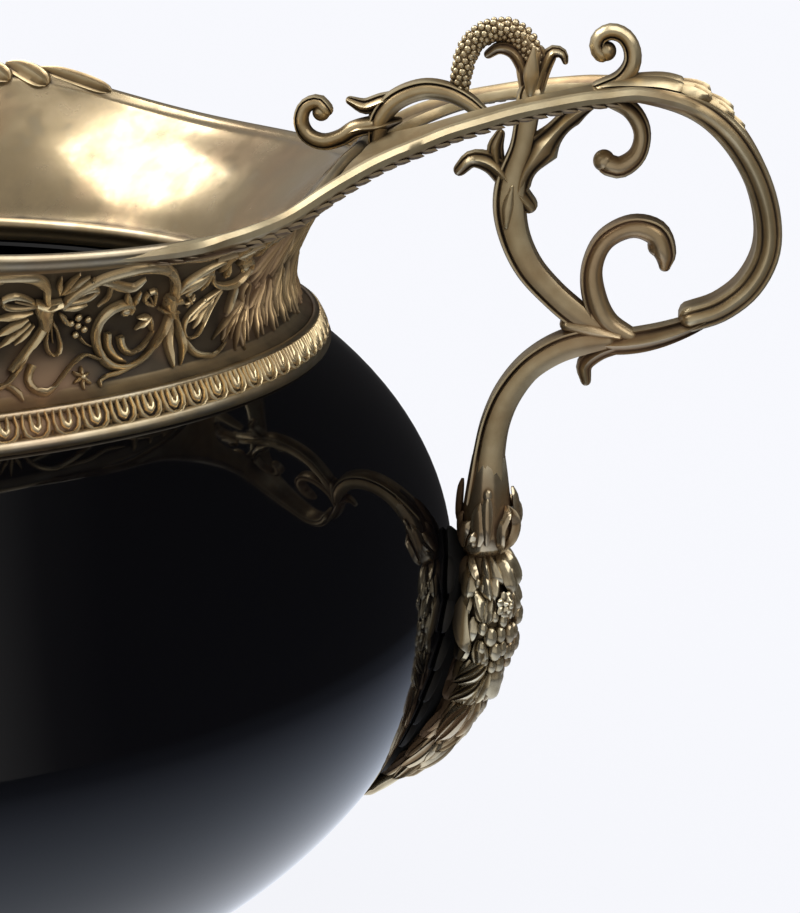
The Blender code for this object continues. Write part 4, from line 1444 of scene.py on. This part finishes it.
# %% [markdown]
# Three kinds of things grow on a core: leaves, berries and a flower. Each helper takes the core and
# a place on it, and turns the piece so that it faces outwards.

# %% Leaves, berries and a flower on a core


def lay_leaf(whole, core, root, tip, half, rise, ribs, belly, curl):
    """A leaf from one (angle, height) to another. belly bows it sideways and curl lifts its tip."""
    rows = []
    for share, width, tall, lift in (
            (0.0, 0.35, 0.5, 0.1), (0.25, 0.85, 0.9, 0.6), (0.55, 1.0, 1.0, 0.9),
            (0.82, 0.75, 0.9, 1.1), (1.0, 0.1, 0.4, curl)):
        angle = root[0] + (tip[0] - root[0]) * share + belly * math.sin(math.pi * share)
        z = root[1] + (tip[1] - root[1]) * share
        place = core_place(core, angle, z, lift * rise * 0.75)
        rows.append((*place, half * width, rise * tall))
    add_to(whole, leaf_over(rows, core_outward(core), ribs, 1.2))


def lay_berry(whole, core, angle, z, radius, lift):
    """A berry, longer than it is thick."""
    place = core_place(core, angle, z, lift)
    berry = bmesh.new()
    bmesh.ops.create_uvsphere(berry, u_segments=14, v_segments=9, radius=radius)
    bmesh.ops.scale(berry, vec=(0.95, 0.95, 1.4), verts=berry.verts)
    add_to(whole, berry, Matrix.Translation(place))


def lay_flower(whole, core, angle, z, radius):
    """Two rings of petals and a seed, facing away from the core."""
    middle = core_place(core, angle, z, 2.2)
    out = core_outward(core)(middle)
    right = Vector((-out.y, out.x, 0)).normalized()
    up = out.cross(right)
    for ring, (reach, half, lift, count) in enumerate(((radius, 1.25, 0.2, 7),
                                                       (radius * 0.62, 0.85, 1.1, 6))):
        for k in range(count):
            turn = 2 * math.pi * (k + 0.5 * ring) / count
            way = right * math.cos(turn) + up * math.sin(turn)
            rows = []
            for share, width, rise in ((0.08, 0.4, 0.5), (0.5, 1.0, 0.9), (0.85, 0.95, 0.9),
                                       (1.0, 0.3, 0.4)):
                place = middle + way * reach * share + out * (lift - 0.5 * share * share)
                rows.append((*place, half * width, rise * 0.9))
            add_to(whole, leaf_over(rows, lambda _: out, 1, 0.9))
    seed = bmesh.new()
    bmesh.ops.create_uvsphere(seed, u_segments=10, v_segments=7, radius=0.95)
    add_to(whole, seed, Matrix.Translation(middle + out * 1.4))


print("directions on the bunch, away from the bowl:",
      [round(value, 2) for value in core_outward(BUNCH)(core_place(BUNCH, 0, 113, 0))])

# %% [markdown]
# Behind the bunch lies a broad leaf that touches the porcelain, with lobes on both sides. It is
# nearly black, painted shade behind the drop, and it closes the gaps, so no glaze shines through
# between the leaves.

# %% Back leaves of a drop


def on_bowl(turn, z, lift):
    """A point on the porcelain, by degrees from the handle and height."""
    r, turn = belly_radius(z) + lift, math.radians(turn)
    return Vector((r * math.cos(turn), r * math.sin(turn), z))


def bowl_outward(place):
    """The porcelain faces away from its middle, as an ellipsoid does."""
    height = UPPER_H if place.z > BELLY_Z else LOWER_H
    level = place.z - BELLY_Z
    flat = BELLY_R ** 2
    return Vector((place.x / flat, place.y / flat, level / height ** 2)).normalized()


# A nearly black leaf that stands for the shade behind the drop.
backing = bmesh.new()
rows = [(*on_bowl(0, z, 1.0), half, rise) for z, half, rise in (
    (136, 1.5, 1.0), (132, 6, 4.0), (122, 12, 4.6), (108, 13, 4.8), (94, 12, 5.4),
    (84, 9, 5.0), (74, 6.4, 4.0), (66, 4, 2.4), (59, 1.4, 1.0))]
add_to(backing, leaf_over(rows, bowl_outward, 1, 2.5))
for side in (1, -1):
    for z, reach in ((130, 4.6), (121, 6.4), (111, 7.0), (102, 7.0), (94, 5.8), (86, 4.6),
                     (77, 3.6)):
        rows = []
        for share, width in ((0, 0.6), (0.35, 1.0), (0.7, 0.95), (0.92, 0.6), (1.0, 0.12)):
            place = on_bowl(side * (1.0 + (reach - 1.0) * share), z - 8 * share, 0.8)
            rows.append((*place, 3.2 * width, 1.4 * width + 0.4))
        add_to(backing, leaf_over(rows, bowl_outward, 1, 1.4))
both_sides("drop_backing", backing, painted_shade_bronze, "drop")

# %% [markdown]
# A modeller would draw the bunch before laying the first leaf. This is that drawing, for one side of
# the drop. A leaf is a row of its root and tip as (angle, height), the half width, the rise, the
# number of ribs, how far it bows sideways and how far its tip curls off. A berry is a row of its
# angle, height and radius.

# %% Drawing of a drop
CALYX_LEAVES = (
    ((88, 134.0), (86, 147.8), 1.6, 1.0, 1, 0, 0.2),
    ((50, 131.6), (38, 143.8), 1.3, 2.0, 1, 17, 0.2),
    ((50, 131.6), (38, 143.8), 1.3, 2.0, 1, -17, 0.2),
    ((12, 133.0), (4, 147.6), 2.4, 1.3, 1, 0, 0.7),
    ((146, 132.4), (124, 140.0), 2.2, 1.3, 1, 8, 0.2),
    ((170, 137.0), (180, 149.6), 2.0, 1.4, 1, 0, 1.1),
    ((106, 133.6), (104, 145.0), 2.2, 0.7, 1, 0, 0.1),
    ((124, 133.8), (112, 137.4), 1.3, 1.3, 1, 0, 0.3),
    ((160, 132.6), (156, 141.6), 2.4, 1.0, 1, 0, 0.2))
BUNCH_LEAVES = (
    ((128, 130.3), (101, 124.6), 1.2, 1.6, 1, 0, 1.0),
    ((72, 130.2), (54, 123.6), 1.8, 2.0, 1, 0, 1.0),
    ((42, 130.0), (35, 120.8), 2.2, 2.4, 1, 0, 1.1),
    ((10, 129.8), (4, 121.0), 2.1, 2.2, 1, 0, 1.1),
    ((86, 130.2), (80, 124.4), 1.3, 1.6, 1, 0, 0.9),
    ((150, 129.0), (140, 122.6), 1.7, 1.8, 1, 0, 1.0),
    ((106, 122.2), (92, 115.2), 1.7, 2.0, 1, 0, 1.1),
    ((132, 120.4), (112, 106.4), 2.3, 3.4, 1, 7, 0.9),
    ((24, 120.6), (12, 114.6), 1.6, 1.8, 1, 0, 1.0),
    ((162, 118.0), (160, 106.0), 2.6, 2.2, 1, 0, 1.0),
    ((80, 103.8), (124, 96.4), 2.5, 2.8, 3, -6, 1.2),
    ((80, 99.2), (120, 91.0), 2.2, 2.6, 3, -6, 1.2),
    ((46, 100.0), (30, 90.2), 2.8, 2.6, 1, 0, 1.0), ((62, 99.4), (66, 91.0), 2.0, 2.2, 2, 0, 1.0),
    ((14, 98.0), (10, 90.4), 2.0, 2.0, 1, 0, 0.9),
    ((150, 102.0), (160, 91.0), 2.4, 2.0, 2, 0, 1.0),
    ((77, 92.0), (98, 79.0), 2.8, 2.8, 3, 6, 1.2), ((52, 91.6), (64, 80.6), 2.2, 2.4, 2, 0, 1.1),
    ((34, 84.4), (42, 78.8), 1.6, 1.8, 1, 0, 1.0), ((130, 90.0), (140, 79.0), 2.4, 2.0, 2, 0, 1.0),
    ((42, 81.0), (78, 75.6), 1.9, 2.0, 3, 0, 1.1), ((30, 79.0), (66, 69.6), 2.6, 2.2, 3, 0, 1.0),
    ((100, 79.6), (112, 69.4), 2.2, 1.8, 2, 0, 1.0), ((90, 70.0), (98, 58.8), 1.6, 1.2, 1, 0, 0.5))
BERRIES = (
    (77, 110.3, 2.0), (38, 109.6, 2.0), (25, 104.3, 1.8), (66, 106.0, 2.0), (58, 110.4, 1.7),
    (8, 105.0, 1.9), (49, 101.8, 1.8), (14, 100.4, 1.6), (54, 114.0, 1.4), (92, 112.6, 1.5),
    (6, 112.4, 1.9), (22, 109.4, 1.7), (52, 106.4, 1.7), (92, 107.4, 1.5), (38, 104.6, 1.6),
    (84, 103.6, 1.5), (103, 123.9, 1.1), (116, 123.6, 1.1), (92, 122.8, 1.0), (72, 121.6, 1.3),
    (24, 88.4, 1.7), (30, 84.6, 1.5), (14, 84.0, 1.4), (42, 88.2, 1.5), (26, 78.6, 1.3),
    (70, 115.6, 1.3), (64, 101.6, 1.5), (34, 99.0, 1.4), (44, 95.0, 1.2), (48, 84.0, 1.2))
print("on one side:", len(CALYX_LEAVES), "leaves of the calyx,", len(BUNCH_LEAVES),
      "large leaves and", len(BERRIES), "berries")

# %% [markdown]
# The drawing is laid on the two cores, once as it is and once mirrored. Small leaves fill the ground
# of the bunch first, except where the berries hang, and the flower sits between the large leaves.

# %% Leaves, flower and berries of a drop
drop = bmesh.new()
add_to(drop, core_body(CALYX))
add_to(drop, core_body(BUNCH))
for side in (1, -1):
    calyx = bmesh.new()
    for leaf in CALYX_LEAVES:
        lay_leaf(calyx, CALYX, *leaf)
    lay_berry(calyx, CALYX, 86, 147.0, 1.3, 0.2)
    lay_berry(calyx, CALYX, 116, 134.8, 1.2, 0.3)
    bunch = bmesh.new()
    for row in range(10):  # small leaves that fill the ground of the bunch
        z = 127.0 - 6.0 * row
        for column in range(7):
            angle = 12 + 25 * column + 12 * (row % 2)
            if 98 < z < 118 and angle < 95:
                continue  # the berries hang here
            half = 0.7 + 0.13 * level_of(BUNCH, z)[2]
            lay_leaf(bunch, BUNCH, (angle, z), (angle + 9 * (-1) ** column, z - 7.0), half, 1.7,
                     1 + row % 2, 0, 1.0)
    for leaf in BUNCH_LEAVES:
        lay_leaf(bunch, BUNCH, *leaf)
    lay_flower(bunch, BUNCH, 50, 118.4, 3.8)
    for berry in BERRIES:
        lay_berry(bunch, BUNCH, *berry, 1.0)
    for part in (calyx, bunch):
        if side < 0:
            bmesh.ops.scale(part, vec=(1, -1, 1), verts=part.verts)
            bmesh.ops.reverse_faces(part, faces=part.faces)
        add_to(drop, part)
for root, tip, half in (((0, 97.6), (0, 89.8), 2.4), ((0, 82.0), (0, 73.0), 2.2),
                        ((0, 74.0), (0, 64.0), 1.8)):
    lay_leaf(drop, BUNCH, root, tip, half, 1.9, 3, 0, 0.8)

# The side turned to the bowl is painted dark, as the shade that falls between the drop
# and the bowl.
wear_and_shade = drop.verts.layers.float.new("height")
for vert in drop.verts:
    x, thick, wide = level_of(CALYX if vert.co.z > 130.4 else BUNCH, vert.co.z)
    vert[wear_and_shade] = max(0.0, min(1.0, ((vert.co.x - x) / thick + 0.95) / 0.5))
both_sides("flower_drop", drop, drop_bronze, "drop")

# %% [markdown]
# ## The crest of the rim
#
# At the front and the back the rim rises, and leaves were laid over its inner edge, three to each
# side. They lean inwards, point away from the middle and shrink as the rim falls. The same leaf
# helper lays them on the slope of the rim.

# %% Leaves on the crest of the rim


def inner_slope(place):
    """The top of the rim faces up and to the middle of the bowl."""
    return Vector((-place.x * 0.0045, -place.y * 0.0045, 0.75)).normalized()


crest_leaves = bmesh.new()
for middle in (90, -90):
    for side in (-1, 1):
        for begin, finish, half, sink in ((-1.2, 4.6, 4.8, 6.4), (3.4, 9.6, 4.8, 5.6),
                                          (7.6, 17.8, 3.6, 2.2)):
            rows = []
            for share, deep, width, tall in (
                    (0, -0.08, 0.35, 0.4), (0.25, 0.14, 0.85, 0.9), (0.6, 0.55, 1.0, 1.0),
                    (0.88, 0.92, 0.8, 0.95), (1.0, 1.05, 0.2, 0.4)):
                angle = math.radians(middle + side * (begin + (finish - begin) * share))
                fold = fold_angle(math.cos(angle), math.sin(angle))
                r = rim_radius(fold) - 1.0 - deep * sink
                z = rim_height(fold) + 0.2 - deep * sink * 0.62
                rows.append((r * math.cos(angle), r * math.sin(angle), z, half * width, 3.4 * tall))
            add_to(crest_leaves, leaf_over(rows, inner_slope, 2, 1.2))
finish_piece("rim_crest_leaves", crest_leaves, handle_bronze, ["rim_collar"])

# %% [markdown]
# ## The foot
#
# The foot is a turned ring: a broad round moulding, a hollow and a small one. The beads between them
# were cut with a knurl on the real ring. Here they are small balls half sunk in the hollow.

# %% Foot ring
FOOT_R = 98.0
FOOT_BEADS = 110
BEAD_R = 1.9
BEAD_RING_R = 92.2
BEAD_Z = 9.6
foot_top = BASE_Z - 0.3
broad_round = arc(FOOT_R - 3.4, 3.4, 3.4, -80, 80, 8)
foot_hollow = [(94.6, 7.6), (93.6, 8.4), (91.4, 9.6), (89.2, 12.0), (88.2, 14.6), (87.6, 17.0),
               (88.0, 18.2)]
small_round = arc(88.2, foot_top - 1.3, 1.3, -70, 80, 5)
inside = [(79.0, foot_top), (79.6, 16.0), (81.4, 11.0), (86.0, 4.0), (88.6, 0.05)]
foot_outline = broad_round + foot_hollow + small_round + inside
finish_piece("foot_moulding", turned(foot_outline, 200), foot_bronze, ["foot_ring"],
             sharp=42)

foot_beads = bmesh.new()
for k in range(FOOT_BEADS):
    turn = 2 * math.pi * k / FOOT_BEADS
    bead = bmesh.new()
    bmesh.ops.create_uvsphere(bead, u_segments=8, v_segments=6, radius=BEAD_R)
    add_to(foot_beads, bead, Matrix.Translation((BEAD_RING_R * math.cos(turn),
                                                 BEAD_RING_R * math.sin(turn), BEAD_Z)))
finish_piece("foot_beads", foot_beads, foot_bronze, ["foot_ring"], sharp=180)

# %% [markdown]
# ## The studio
#
# The object stands on plain pale paper. Polished metal and black glaze show the room more than
# themselves, so the room is built for its reflections. The glaze gets a glowing disc of its own, a
# painted pool of light: it shows in the lower part of the bowl and fades outwards. The camera does
# not see that disc, so the floor can stay even. From here on the sizes are in metres.

# %% Floor and paper
LIGHT_POOL_R = 0.46  # radius of the glowing disc, a painted pool of light that the glaze mirrors


def stage_piece(name, bm, mat):
    """A thing of the room that is no part of the object."""
    mesh = bpy.data.meshes.new(name)
    bm.to_mesh(mesh)
    bm.free()
    mesh.materials.append(mat)
    piece = bpy.data.objects.new(name, mesh)
    bpy.context.scene.collection.objects.link(piece)
    return piece


def paper(name, base, glow):
    """Matt paper that is partly lit and partly glows, so that it looks evenly white."""
    mat = bpy.data.materials.new(name)
    mat.use_nodes = True
    shader = mat.node_tree.nodes["Principled BSDF"]
    shader.inputs["Base Color"].default_value = linear(base)
    shader.inputs["Specular IOR Level"].default_value = 0.0
    shader.inputs["Emission Color"].default_value = linear("#F8F9FE")
    shader.inputs["Emission Strength"].default_value = glow
    return mat


floor_bm = bmesh.new()
bmesh.ops.create_grid(floor_bm, x_segments=2, y_segments=2, size=30)
floor = stage_piece("floor", floor_bm, paper("floor_paper", "#48484A", 0.93))
floor.visible_glossy = False

# The disc glows as a painted pool of light: bright at the foot and fading outwards.
painted_light_pool = paper("painted_light_pool_at_the_foot", "#000000", 1.15)
glow_tree = painted_light_pool.node_tree
from_middle = add_node(glow_tree, "ShaderNodeVectorMath",
                       {0: add_node(glow_tree, "ShaderNodeTexCoord").outputs["Object"]},
                       operation="LENGTH")
painted_light_falloff = add_node(glow_tree, "ShaderNodeValToRGB", {"Fac": from_middle.outputs["Value"]}, (
    (0.15, "#EDF3FF"), (0.20, "#D3DCEC"), (0.25, "#B0B9CA"), (0.31, "#858C9C"), (0.38, "#4A4E58"),
    (LIGHT_POOL_R, "#2E3034")))
glow_tree.links.new(painted_light_falloff.outputs["Color"],
                    glow_tree.nodes["Principled BSDF"].inputs["Emission Color"])
disc_bm = bmesh.new()
bmesh.ops.create_circle(disc_bm, cap_ends=True, radius=LIGHT_POOL_R, segments=96)
disc = stage_piece("paper_disc", disc_bm, painted_light_pool)
disc.location.z = 0.0002
disc.visible_camera = False
disc.visible_diffuse = False
disc.visible_shadow = False
print("floor", tuple(round(side, 2) for side in floor.dimensions[:2]), "m, paper", 2 * LIGHT_POOL_R,
      "m wide")

# %% [markdown]
# The room is a light tent with one open side where a black cloth hangs, on the right and behind.
# Reflections see grey walls that darken towards the cloth. The camera and the light that fills the
# shadows see white. Three soft boxes give the bright patches: one high on the far left, one overhead
# and one on the right. A low white card lights the ornament of the collar.

# %% Room and soft boxes
world = bpy.data.worlds.new("studio")
bpy.context.scene.world = world
world.use_nodes = True
room = world.node_tree
seen = add_node(room, "ShaderNodeLightPath").outputs["Is Camera Ray"]
look = add_node(room, "ShaderNodeTexCoord").outputs["Generated"]
toward_cloth = add_node(room, "ShaderNodeVectorMath", {0: look, 1: (0.87, 0.50, 0.0)},
                        operation="DOT_PRODUCT")
place = add_node(room, "ShaderNodeMapRange",
                 {"Value": toward_cloth.outputs["Value"], "From Min": -1.0})
walls = add_node(room, "ShaderNodeValToRGB", {"Fac": place.outputs["Result"]}, (
    (0.0, "#C6C4C2"), (0.36, "#AEACAA"), (0.58, "#A09E9C"), (0.69, "#474646"), (0.77, "#2C2B2C"),
    (1.0, "#2A2A2C")))
fills = add_node(room, "ShaderNodeLightPath").outputs["Is Diffuse Ray"]
filled = add_node(room, "ShaderNodeMix",
                  {0: fills, 6: walls.outputs["Color"], 7: linear("#FFFFFF")}, data_type="RGBA")
shown = add_node(room, "ShaderNodeMix", {0: seen, 6: filled.outputs[2], 7: linear("#F8F9FE")},
                 data_type="RGBA")
room.links.new(shown.outputs[2], room.nodes["Background"].inputs["Color"])


def soft_box(name, place, size, radiance):
    """An area light that faces the bowl. Its power in watts follows from its size and radiance."""
    light = bpy.data.lights.new(name, "AREA")
    light.shape = "RECTANGLE"
    light.size, light.size_y = size
    light.energy = radiance * math.pi * size[0] * size[1]
    lamp = bpy.data.objects.new(name, light)
    lamp.location = place
    lamp.rotation_euler = (Vector((0, 0, 0.15)) - Vector(place)).to_track_quat("-Z", "Y").to_euler()
    bpy.context.scene.collection.objects.link(lamp)
    print(f"{name}: {size[0]} x {size[1]} m, {light.energy:.1f} W")
    return lamp


left = soft_box("soft_box_left", (-0.86, 0.34, 1.5), (1.1, 0.85), 6.0)
top = soft_box("soft_box_top", (0.40, 0.0, 1.6), (0.9, 0.9), 2.6)
right = soft_box("soft_box_right", (1.17, -0.21, 1.27), (1.7, 0.7), 2.4)
card = soft_box("white_card_low_right", (0.95, -0.42, 0.46), (0.9, 0.85), 1.15)

# A polarising filter keeps the lights out of the glaze, and the floor needs none of them. The card
# is moved until it serves the collar alone. Light linking does the same as both.
unlit = bpy.data.collections.new("kept_out_of_the_light")
for name in ("porcelain_body", "floor"):
    unlit.objects.link(bpy.data.objects[name])
for member in unlit.collection_objects:
    member.light_linking.link_state = "EXCLUDE"
for lamp in (left, top, right):
    lamp.light_linking.receiver_collection = unlit
carded = bpy.data.collections.new("lit_by_the_card")
for name in ("collar_body", "frieze_relief", "egg_and_dart"):
    carded.objects.link(bpy.data.objects[name])
card.light_linking.receiver_collection = carded

# %% [markdown]
# The camera stands a little over half a metre in front of the right handle and looks down at it, so
# that the handle, the collar and the side of the bowl fill the view. A long lens keeps their shapes
# true at that distance. The plain view transform keeps white paper white.

# %% Camera
TILT = 15.16  # degrees below the horizon
PAN = 5.59

camera = bpy.data.objects.new("camera", bpy.data.cameras.new("camera"))
camera.data.lens = 86.747
camera.data.sensor_width = 36
camera.data.clip_start = 0.01
camera.location = (0.2078, -0.5587, 0.3072)
camera.rotation_euler = (math.radians(90 - TILT), 0, math.radians(PAN))
bpy.context.scene.collection.objects.link(camera)
bpy.context.scene.camera = camera
bpy.context.scene.view_settings.view_transform = "Standard"
print("camera", round(camera.location.length, 3), "m from the middle of the foot")
